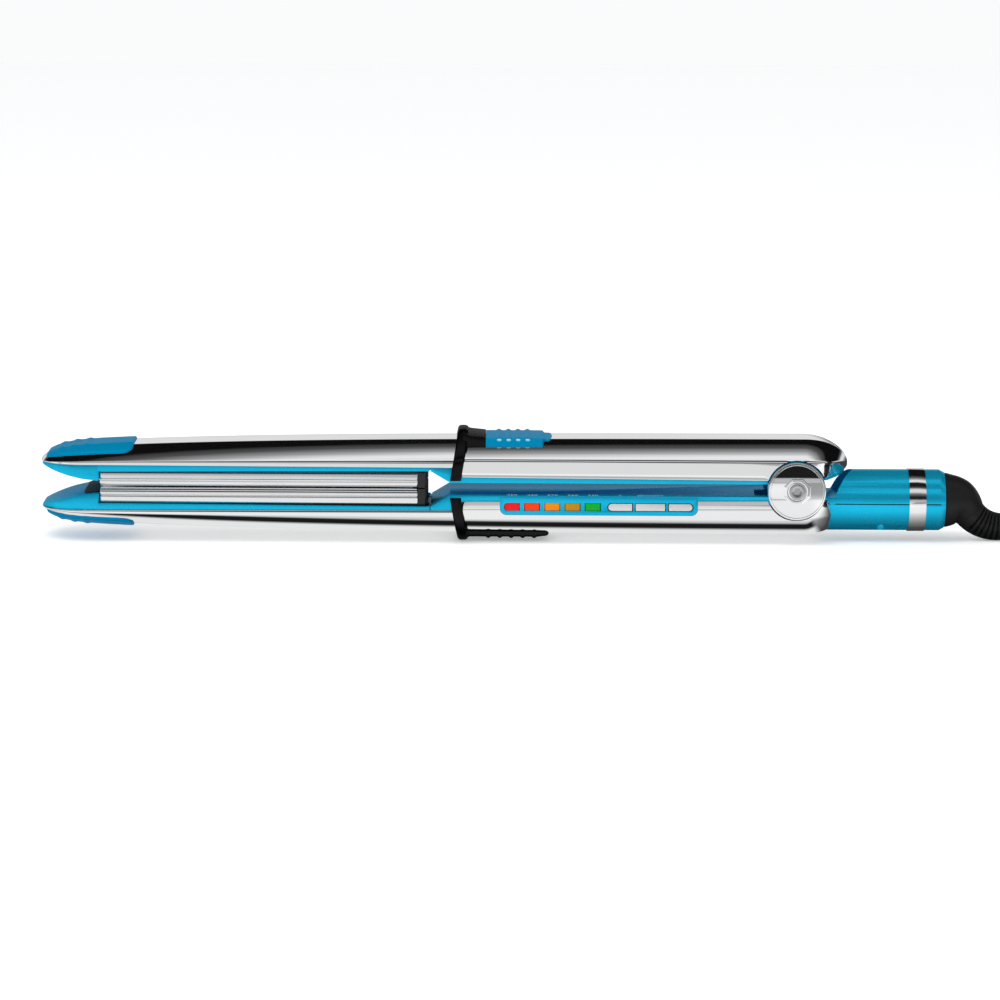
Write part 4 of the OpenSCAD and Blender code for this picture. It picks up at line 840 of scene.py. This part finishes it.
# %% Thumb pad
x = np.concatenate([np.linspace(-121.3, -99.4, 110), np.linspace(-99.2, -98.4, 9),
                    np.linspace(-98.2, -95.0, 14)])
thumb_height = np.where(x < -98.8, 19.2 + sum(bump(x, m, 1.35, 0.6) for m in THUMB_RIDGES),
                        19.0 - 0.35 * past(x, -98.8, 0.6) - 0.25 * past(x, -97, 2) ** 2)
thumb_half = THUMB_HALF - np.where(x < -99.2, 0, 2.9 * past(x, -99.2, 0.8)) - 3.5 * past(x, -97, 2.0) ** 2
thumb = grid_piece("thumb_pad_soft", placed(rest_grid(x, thumb_half, thumb_height)), sharp_angle=45)
dress(thumb, blue_pad, "upper_arm", "thumb_pad")
print("pads and collars made")

# %% [markdown]
# ## Moulded core, tail and panel
# The blue core of each arm is a metal-look moulding with many slots and posts. Its shape is
# right in the model but its edges are knife-sharp. A copy is merged, its flat triangles are
# dissolved, and a narrow bevel rounds every edge, which is what makes a moulding look moulded.

# %% Round every edge of a copy
def softened(node, name, width, material, segments=2, gap=(0.0, 0.0)):
    """Copy of a node with merged corners, dissolved flats and a bevel; gap draws it in along X and Z."""
    body = frame["nodes"][node].parent
    mesh = frame["nodes"][node].data.copy()
    work = bmesh.new()
    work.from_mesh(mesh)
    bmesh.ops.remove_doubles(work, verts=work.verts, dist=1e-6)
    bmesh.ops.dissolve_limit(work, angle_limit=np.radians(0.8), verts=work.verts, edges=work.edges)
    points = np.array([vert.co for vert in work.verts])
    low, high = points.min(0), points.max(0)
    share = 1 - 2 * MM * np.array([gap[0], 0, gap[1]]) / (high - low)
    for vert, place in zip(work.verts, (low + high) / 2 + (points - (low + high) / 2) * share):
        vert.co = place
    work.to_mesh(mesh)
    work.free()
    piece = new_object(name, mesh)
    bevel = piece.modifiers.new("rounded edges", "BEVEL")
    bevel.width, bevel.segments = width * MM, segments
    bevel.limit_method, bevel.angle_limit = "ANGLE", np.radians(28)
    bpy.context.view_layer.objects.active = piece
    bpy.ops.object.modifier_apply(modifier=bevel.name)
    mesh.shade_smooth()
    mesh.set_sharp_from_angle(angle=np.radians(32))
    dress(piece, material, next(name for name, empty in frame["bodies"].items() if empty == body), node)


for node, name, width, material, slot in (
        ("lower_housing", "lower_blue_core", 0.22, blue_metal, "blue_plastic"),
        ("upper_housing", "upper_blue_core", 0.22, blue_metal, "blue_plastic"),
        ("tail_cover", "tail_upper_half", 0.28, blue_metal, "blue_plastic"),
        ("lower_bumper", "jaw_cushion", 0.7, grey_cushion, "grey_rubber"),
        ("tail_ring", "tail_band", 0.12, turned_chrome, "chrome_trim")):
    softened(node, name, width, material, segments=4 if name == "jaw_cushion" else 2)
for key in ("plus", "power", "minus"):
    softened(key + "_button", key + "_key_cap", 0.3, key_silver, segments=4, gap=(0.3, 0.22))
for node, material in LENSES.items():
    softened(node, node + "_window", 0.18, material, gap=(0.42, 0.16))
print("softened pieces made")

# %% [markdown]
# ### Print beside the panel
# The heat steps and the signs of the three keys are printed on the lower arm's inner face,
# just behind its front edge, where they show when the iron opens. Font outlines become thin
# meshes; the numbers are plain degrees.

# %% Labels
PRINT_Y, PRINT_Z = -15.4, -2.48
LABELS = [("450", -111.0), ("420", -103.1), ("390", -95.2), ("360", -87.3), ("330", -79.4),
          ("+", -68.8), ("ON/OFF", -57.0), ("–", -45.3)]


def label(words, middle):
    """Flat lettering centred at a place along the arm, read from the front."""
    curve = bpy.data.curves.new("print", "FONT")
    curve.body, curve.size, curve.extrude = words, 3.1 * MM, 0.01 * MM
    curve.align_x, curve.align_y = "CENTER", "CENTER"
    text = new_object("print", curve)
    bpy.context.view_layer.update()
    mesh = bpy.data.meshes.new_from_object(text.evaluated_get(bpy.context.evaluated_depsgraph_get()))
    bpy.data.objects.remove(text)
    points = np.empty(len(mesh.vertices) * 3)
    mesh.vertices.foreach_get("co", points)
    points = points.reshape(-1, 3) * [0.92, 1.15, 1] + (HINGE + [middle, PRINT_Y, PRINT_Z]) * MM
    mesh.vertices.foreach_set("co", points.ravel())
    mesh.update()
    return new_object("print", mesh)


print_piece = join([label(words, middle) for words, middle in LABELS], "panel_print")
dress(print_piece, white_print, "lower_arm")

# %% [markdown]
# ## Hinge caps
# Each side of the hinge is closed by a chromed disc. A level band crosses its face, above which
# the face falls back in a curve and below which it slopes away, so that it mirrors the ceiling
# above and the table below. An octagonal boss holds a round screw head with a hexagonal socket.

# %% Hinge caps
CAP_R, CAP_T, CAP_EDGE, BORE_R, BOSS_HALF, HEAD_R, SOCKET_HALF = 11.3, 2.2, 0.5, 2.2, 5.2, 3.15, 1.52
GROOVE = [(10.1, 0), (10.16, 0.05), (10.24, 0.4), (10.44, 0.4), (10.52, 0.05), (10.58, 0), (10.8, 0)]


def cap_fall(z):
    """How far the face lies behind its level band: a parabola that runs into a slope above, a gentle slope
    below."""
    up, down = np.maximum(0, z - 3.45), np.maximum(0, -z - 3.3)
    curved = np.where(up < 2.3, 0.085 * up + 0.018 * up**2, 0.291 + 0.22 * (up - 2.3))
    return curved + 0.06 * down


def polygon_radius(apothem, corners, turn=0.0):
    """Radius of a regular polygon at each angle, from the distance of its flats."""
    step = 2 * np.pi / corners
    return lambda a: apothem / np.cos((a - turn) % step - step / 2)


def turned_grid(profile, sides, fall=False):
    """Rings about the Y axis from pairs of radius and height; a radius may be a function of the angle, and
    the height may be less by the cap's fall."""
    rows = []
    for radius, height in profile:
        r = radius(full_turn(sides)) if callable(radius) else radius
        x, z = r * np.cos(full_turn(sides)), r * np.sin(full_turn(sides))
        rows.append(np.stack([x, np.full(sides, float(height)) - (cap_fall(z) if fall else 0), z], -1))
    return np.stack(rows)


def cap_piece(name, side):
    """Disc: growing rings on the face, a quarter-round rim and the flat back; a boss stands on it."""
    turn = np.linspace(0.15, np.pi / 2, 6)
    face = [(r, CAP_T) for r in np.linspace(BORE_R, 10.0, 32)] + [(r, CAP_T - deep) for r, deep in GROOVE]
    face += list(zip(CAP_R - CAP_EDGE + CAP_EDGE * np.sin(turn), CAP_T - CAP_EDGE * (1 - np.cos(turn))))
    disc = np.concatenate([turned_grid(face, 144, fall=True), turned_grid([(CAP_R, 0), (BORE_R, 0)], 144)])
    boss = turned_grid([(polygon_radius(BOSS_HALF - less, 8, np.pi / 8), height) for less, height in (
        (0, 1.2), (0, 2.42), (0.12, 2.55), (0.35, 2.62))] + [
        (4.2, 2.64), (3.75, 2.62), (3.62, 2.5), (3.5, 1.9), (3.3, 1.2), (2.3, 1.2)], 144)
    points, faces = [], []
    for grid in (disc, boss):
        faces += grid_faces(*grid.shape[:2], sum(map(len, points)), close_rows=True)
        points.append(placed((grid + [0, HALF_W, 0]) * [1, side, 1]).reshape(-1, 3))
    return mesh_piece(name, np.concatenate(points), faces, sharp_angle=24)


for side, node in ((-1, "hinge_cap_near"), (1, "hinge_cap_far")):
    dress(cap_piece(node + "_disc", side), chrome, "lower_arm", node)

# %% Screws in the caps
# From the middle of the socket's floor over the rounded head and down the shank.
socket = polygon_radius(SOCKET_HALF, 6)
SCREW = [(0.02, 1.5), (socket, 1.5), (socket, 2.72), (1.95, 2.86), (2.6, 2.88), (2.95, 2.82), (3.1, 2.66),
         (HEAD_R, 2.4), (HEAD_R, 1.32), (1.5, 1.3), (1.5, -7.0), (0.02, -7.0)]
screws = grids_piece("cap_screw_pair", [placed((turned_grid(SCREW, 96) + [0, HALF_W, 0]) * [1, side, 1])
                                        for side in (-1, 1)], sharp_angle=30)
dress(screws, steel, "lower_arm", "cap_screws")

# %% [markdown]
# ### Parting line of the tail
# The two halves of the tail meet in a narrow shadow gap along both sides. It is too fine to
# cut, so a dark strip lies flush in the surface along the joint.

# %% Parting line
def strip_grid(x0, x1, side):
    """Thin strip along X on the tail's flank at the height of its middle."""
    y0, y1, half = side * (TAIL_R - 0.4), side * (TAIL_R + 0.02), 0.19
    ring = np.array([[y0, -half], [y1, -half], [y1, half], [y0, half]]) - [0, TAIL_DROP]
    return placed(np.stack([at_x(x, ring) for x in (x0, x1)]))


seams = grids_piece("tail_parting_line", [strip_grid(x0, x1, side) for side in (-1, 1)
                                          for x0, x1 in ((15.5, 44.5), (51.3, 57.0))], smooth=False)
dress(seams, gloss_black, "lower_arm")

# %% [markdown]
# ## Swivel elbow and sleeve
# The cord leaves through a black elbow that turns in the end of the tail, and a soft sleeve
# that keeps the cord from kinking. The elbow is a round loft whose centre line turns down by
# fifty degrees. The sleeve follows an arc until it lies level, thins towards its end, and has
# slots across both sides that let it bend, between a solid spine above and below.

# %% Elbow
def loft_turning(stations, count, sides=96):
    """Round rings along stations of x, z, downward angle in degrees and radius, on a smooth curve."""
    x, z, down, radius = smooth_path(np.asarray(stations, float), count).T[:, :, None]
    across, up = np.cos(full_turn(sides)) * radius, np.sin(full_turn(sides)) * radius
    return np.stack([x + up * np.sin(np.radians(down)), across, z + up * np.cos(np.radians(down))], -1)


ELBOW = [[59.22, -6.05, 0, 10.2], [59.3, -6.05, 0, 10.6], [60.0, -6.05, 0, 10.62], [62.4, -6.05, 0, 10.0],
         [64.5, -6.2, 6, 9.3], [66.4, -7.1, 22, 8.45], [67.9, -8.8, 39, 7.5], [68.85, -10.5, 50, 6.85],
         [69.38, -11.14, 50, 6.55], [69.46, -11.24, 50, 6.3]]
spigot = disc_grid([6.9, 6.9, 8.4, 8.4, 6.9, 6.9], [59.3, 55.95, 55.9, 53.3, 53.2, 53.1], (0, -TAIL_DROP),
                   axis="x")
elbow = grids_piece("swivel_elbow_black", [placed(loft_turning(ELBOW, 70)), placed(spigot)], sharp_angle=40)
dress(elbow, soft_black, "cord_swivel", "swivel_elbow")

# %% Sleeve
SLEEVE_START, SLEEVE_BEND, SLEEVE_TURN, SLEEVE_END = np.array([69.29, -11.05]), 15.6, np.radians(50), 92.5
SLEEVE_R0, SLEEVE_R1, SLOTS, SLOT_DEEP = 6.4, 4.9, 11, 1.15


def ease(t):
    """Smooth step from 0 to 1."""
    return t * t * (3 - 2 * t)


def sleeve_rows(count=300):
    """x, z and downward angle along the sleeve: an arc that ends level, then a straight run to the end."""
    arc_x, arc_z = SLEEVE_START + SLEEVE_BEND * np.array([np.sin(SLEEVE_TURN), np.cos(SLEEVE_TURN) - 1])
    arc_len, run_len = SLEEVE_BEND * SLEEVE_TURN, SLEEVE_END - arc_x
    s = np.linspace(0, arc_len + run_len, count)
    a = SLEEVE_TURN * np.clip(1 - s / arc_len, 0, 1)
    beyond = np.clip(s - arc_len, 0, None)
    x = arc_x - SLEEVE_BEND * np.sin(a) + beyond
    level = SLEEVE_R1 - HINGE[2]
    z = arc_z + SLEEVE_BEND * (1 - np.cos(a)) + (level - arc_z) * ease(beyond / run_len)
    return s / s[-1], x, z, a


def sleeve_grid(sides=96):
    """Radius falls along the sleeve; slots are cosine dips across both sides, and the tip is rounded over."""
    share, x, z, a = (row[:, None] for row in sleeve_rows())
    theta = full_turn(sides)
    radius = mix(SLEEVE_R0, SLEEVE_R1, np.minimum(1, 1.25 * share)) - 0.5 * dome(past(share, 0.985, 0.015))
    phase = past(share, 0.10, 0.80) * SLOTS
    dip = np.clip(np.cos((phase - 0.5) * 2 * np.pi) * 1.6 - 0.2, 0, 1) * ((phase > 0) & (phase < SLOTS))
    r = radius - SLOT_DEEP * dip * ease(past(np.abs(np.cos(theta)), 0.30, 0.25))
    up = np.sin(theta) * r
    return np.stack([x + up * np.sin(a), np.cos(theta) * r, z + up * np.cos(a)], -1)


sleeve = grid_piece("ribbed_sleeve", placed(sleeve_grid()), sharp_angle=60)
dress(sleeve, soft_black, "cord_swivel", "strain_relief")
print("tail pieces made")

# %% [markdown]
# ## Heated plates
# The plates are bent from thick coated metal. Each side has a flat lip, a narrow pressed
# groove and a generous round into the face that touches the hair. One half outline, mirrored,
# gives the section; the ends are turned in by a third of a millimetre.

# %% Plates
PLATE_FRONT, PLATE_LEN, PLATE_HALF, PLATE_H, PLATE_GAP, PLATE_ROUND = 271.8, 124.0, 16.0, 6.0, 0.15, 2.0
SIDE = [(0.25, 6.0), (0.06, 5.94), (0.0, 5.8), (0.0, 3.66), (0.06, 3.58), (0.6, 3.5), (0.6, 3.1),
        (0.06, 3.02), (0.0, 2.94)]


def plate_grid():
    """Rings of the plate's section: the side's inset by height, then a quarter circle into the face."""
    turn = np.linspace(0, np.pi / 2, 12)
    round_y = PLATE_HALF - PLATE_ROUND * (1 - np.cos(turn))
    round_z = PLATE_ROUND * (1 - np.sin(turn))
    half = np.concatenate([[(PLATE_HALF - inset, z) for inset, z in SIDE], np.stack([round_y, round_z], -1)])
    section = np.concatenate([half, half[::-1] * [-1, 1]])
    places = [0, 0.1, 0.35, PLATE_LEN - 0.35, PLATE_LEN - 0.1, PLATE_LEN]
    draws = [0.35, 0.12, 0, 0, 0.12, 0.35]
    inset = np.array([1 / PLATE_HALF, 2 / PLATE_H])
    return np.stack([at_x(x - PLATE_FRONT, (section - [0, PLATE_H / 2]) * (1 - draw * inset)
                          + [0, PLATE_H / 2 + PLATE_GAP]) for x, draw in zip(places, draws)])


for arm in ("upper", "lower"):
    plate = grid_piece(arm + "_plate_polished", placed(plate_grid(), arm == "lower"), sharp_angle=30)
    dress(plate, plate_metal, arm + "_plate_set", arm + "_plate")

# %% [markdown]
# ### Painted highlights on the thumb pad
# Four small pale cyan studs sit in a row under the ridges on each side of the thumb pad. They are
# painted highlights, where the near ends of the ridges catch the light.

# %% Painted highlight studs
HIGHLIGHT_STUD_PLACES, HIGHLIGHT_STUD_R = (-116.1, -112.4, -108.7, -105.0), 0.8


def painted_highlight_grid(x, side):
    """Flattened pale ball leaning out of the pad's top edge, a painted highlight at a ridge's end."""
    turn = np.linspace(-np.pi / 2 + 0.05, np.pi / 2 - 0.05, 9)[:, None]
    angle = full_turn(20)
    r = np.cos(turn) * HIGHLIGHT_STUD_R
    along = x + 1.2 * r * np.cos(angle)
    out = 0.6 * HIGHLIGHT_STUD_R * np.sin(turn) + 0 * angle
    high = 0.62 * r * np.sin(angle)
    return np.stack([along, side * (11.98 + out - 0.4 * high), 18.62 + high + 0.5 * out], -1)


# Pale domes as painted highlights where the ridges' ends catch the light.
painted_highlight_studs = grids_piece("thumb_pad_painted_highlights", [placed(painted_highlight_grid(x, side)) for x in HIGHLIGHT_STUD_PLACES for side in (-1, 1)],
                    sharp_angle=60)
dress(painted_highlight_studs, painted_highlight_cyan, "upper_arm")
print("plates made")

# %% [markdown]
# ### Springs under the plates
# Each plate floats on two small coils that sit in its arm. They are copies of the model's
# coils.

# %% Plate springs
for arm in ("upper", "lower"):
    node = arm + "_springs"
    springs = new_object(node + "_wire", frame["nodes"][node].data.copy())
    springs.data.shade_smooth()
    dress(springs, wire_steel, arm + "_arm", node)
    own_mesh(springs)

# %% [markdown]
# ## Finishes for the pieces that stay as modelled
# The rest of the model's own pieces have the right shape already and only need a real finish
# in place of their plain colour.

# %% Dress the model's own pieces
NODE_FINISH = {
    "hinge_pin": steel, "hinge_washers": nylon, "torsion_spring": wire_steel, "upper_heater": heater_white,
    "lower_heater": heater_white, "upper_carrier": black_carrier, "lower_carrier": black_carrier,
    "thermal_fuse": fuse_tan, "upper_leads": silicone, "lower_leads": silicone, "circuit_board": board_green,
    "board_parts": chip_black, "board_screws": steel, "tail_screws": steel, "swivel_contacts": brass}
for name, material in NODE_FINISH.items():
    for place in frame["nodes"][name].material_slots:
        place.material = material
left = [name for name, node in frame["nodes"].items() if not node.hide_render and name not in NODE_FINISH]
print("nodes without a finish:", left)

# %% [markdown]
# ## Floor, light and surroundings
# Polished metal shows only what is around it. The world is therefore a plain studio drawn as
# bands of light and dark by height, for reflections alone: what lights the rest is an even
# pale world and one large soft lamp. The floor is a pale sheet. In reflections alone it shows a
# painted reflection: painted light, with strips of painted shade under the arms and the tail.

# %% Floor
FLOOR_HALF = 3000.0
corner = np.array([-FLOOR_HALF, FLOOR_HALF])
floor = grid_piece("floor", np.stack([*np.meshgrid(corner, corner), np.zeros((2, 2))], -1),
                   close_columns=False, caps=False, smooth=False)
floor_material = bpy.data.materials.new("pale floor")
floor_material.use_nodes = True
tree = floor_material.node_tree
shader = tree.nodes["Principled BSDF"]
shader.inputs["Base Color"].default_value = (0.86, 0.865, 0.87, 1)
shader.inputs["Roughness"].default_value = 0.7
shader.inputs["Specular IOR Level"].default_value = 0.1

# How bright the sheet looks in a reflection, along Y in metres. This is a painted reflection under the
# arms with a dark strip of painted shade, and under the tail behind them with painted shade below it.
SHEET_FROM, SHEET_TO, ARMS_END, TAIL_START, SHEET_GLOW = -0.24, 0.02, 0.111, 0.1145, 0.34
PAINTED_REFLECTION_UNDER_ARMS = [(-0.24, 0.78), (-0.200, 0.78), (-0.181, 0.84), (-0.168, 0.98), (-0.138, 0.95), (-0.130, 0.42),
              (-0.112, 0.50), (-0.095, 0.85), (-0.082, 0.92), (-0.0172, 0.92), (-0.0145, 0.60),
              (-0.0135, 0.01), (-0.0100, 0.01), (-0.0088, 0.85), (-0.002, 0.85), (0.006, 0.6), (0.02, 0.6)]
PAINTED_REFLECTION_UNDER_TAIL = [(-0.24, 0.35), (-0.15, 0.35), (-0.13, 0.9), (-0.06, 1.1), (-0.028, 1.0), (-0.018, 0.6),
              (-0.010, 0.22), (-0.004, 0.06), (0.02, 0.05)]


def painted_reflection_curve(points, place):
    """Float curve of painted reflection brightness through points of Y, over the strip from SHEET_FROM to
    SHEET_TO.
    """
    node = add(tree, "ShaderNodeFloatCurve", [(place, "Value")])
    line = node.mapping.curves[0]
    line.points[0].location = (0.0, points[0][1])
    line.points[1].location = (1.0, points[-1][1])
    for y, level in points[1:-1]:
        line.points.new((y - SHEET_FROM) / (SHEET_TO - SHEET_FROM), level)
    for point in line.points:
        point.handle_type = "VECTOR"
    node.mapping.update()
    return node


where = add(tree, "ShaderNodeTexCoord")
axes = add(tree, "ShaderNodeSeparateXYZ", [(where.outputs["Object"], 0)])
strip = add(tree, "ShaderNodeMapRange", [(axes.outputs["Y"], "Value")],
            From_Min=SHEET_FROM, From_Max=SHEET_TO)
behind = add(tree, "ShaderNodeMapRange", [(axes.outputs["X"], "Value")],
             From_Min=ARMS_END, From_Max=TAIL_START)
# Painted reflection levels under the arms and under the tail, blended along X.
arms_painted_reflection = painted_reflection_curve(PAINTED_REFLECTION_UNDER_ARMS, strip.outputs["Result"])
tail_painted_reflection = painted_reflection_curve(PAINTED_REFLECTION_UNDER_TAIL, strip.outputs["Result"])
look = add(tree, "ShaderNodeMix", [(behind.outputs["Result"], "Factor"), (arms_painted_reflection.outputs[0], "A"),
                                   (tail_painted_reflection.outputs[0], "B")])
# Reflections see the sheet as an emission at the painted level, painted light and painted shade in place of
# the lit sheet.
light_path = add(tree, "ShaderNodeLightPath")
painted_reflection = add(tree, "ShaderNodeEmission", [(look.outputs["Result"], "Strength")])
sheet_lit_or_painted_reflection = add(tree, "ShaderNodeMixShader", [(light_path.outputs["Is Glossy Ray"], "Fac"),
                                              (shader.outputs[0], 1), (painted_reflection.outputs[0], 2)])
seen = times(tree, light_path.outputs["Is Camera Ray"], SHEET_GLOW)
shader.inputs["Emission Color"].default_value = (1, 1, 1, 1)
tree.links.new(seen.outputs[0], shader.inputs["Emission Strength"])
tree.links.new(sheet_lit_or_painted_reflection.outputs[0], tree.nodes["Material Output"].inputs["Surface"])
wear(floor, floor_material)

# %% [markdown]
# ### Surroundings for reflections
# A ramp over the elevation angle stands for the studio: floor light below, a dark room in
# front, a bright box overhead, a dark ceiling edge behind it, and the white back wall.

# %% World
world = bpy.data.worlds.new("studio")
bpy.context.scene.world = world
world.use_nodes = True
tree = world.node_tree
tree.nodes.clear()
place = add(tree, "ShaderNodeTexCoord")
parts = add(tree, "ShaderNodeSeparateXYZ", [(place.outputs["Generated"], 0)])
towards_viewer = times(tree, parts.outputs["Y"], -1.0)
angle = add(tree, "ShaderNodeMath", [(parts.outputs["Z"], 0), (towards_viewer.outputs[0], 1)],
            operation="ARCTAN2")
turn = add(tree, "ShaderNodeMapRange", [(angle.outputs[0], "Value")], From_Min=0.0, From_Max=np.pi)
ramp = add(tree, "ShaderNodeValToRGB", [(turn.outputs["Result"], "Fac")])
# Elevation in degrees from the horizon towards the viewer, over the top, to the one behind; and brightness.
BANDS = [(0, 0.55), (8, 0.50), (10, 0.012), (20, 0.012), (31, 0.2), (37, 0.8), (47, 0.8), (53, 0.1),
         (60, 0.008), (75, 0.008), (78, 0.80), (84, 0.90), (91, 0.36), (99, 0.085), (106, 0.035),
         (108, 0.004), (150, 0.004), (158, 0.10), (163, 0.62), (167, 0.76), (173, 0.76), (177, 0.32),
         (180, 0.2)]
stops = ramp.color_ramp.elements
while len(stops) < len(BANDS):
    stops.new(1.0)
for stop, (degrees, level) in zip(stops, BANDS):
    stop.position = degrees / 180
    stop.color = (level, level, level * 1.01, 1)
mirrored = add(tree, "ShaderNodeBackground", [(ramp.outputs["Color"], "Color")])
plain = add(tree, "ShaderNodeBackground", Color=(0.97, 0.975, 0.98, 1), Strength=0.75)
white = add(tree, "ShaderNodeBackground", Color=(0.96, 0.965, 0.97, 1), Strength=1.0)
rays = add(tree, "ShaderNodeLightPath")
lit = add(tree, "ShaderNodeMixShader", [(rays.outputs["Is Glossy Ray"], "Fac"), (plain.outputs[0], 1),
                                        (mirrored.outputs[0], 2)])
shown = add(tree, "ShaderNodeMixShader", [(rays.outputs["Is Camera Ray"], "Fac"), (lit.outputs[0], 1),
                                          (white.outputs[0], 2)])
add(tree, "ShaderNodeOutputWorld", [(shown.outputs[0], "Surface")])

# %% Lamp
lamp_data = bpy.data.lights.new("soft lamp", "AREA")
lamp_data.shape, lamp_data.size, lamp_data.energy = "DISK", 1.2, 14.0
lamp = new_object("soft lamp", lamp_data)
lamp.location = (-0.4, -0.9, 1.6)
lamp.rotation_euler = (np.radians(30), 0, np.radians(-24))
lamp.visible_glossy = False
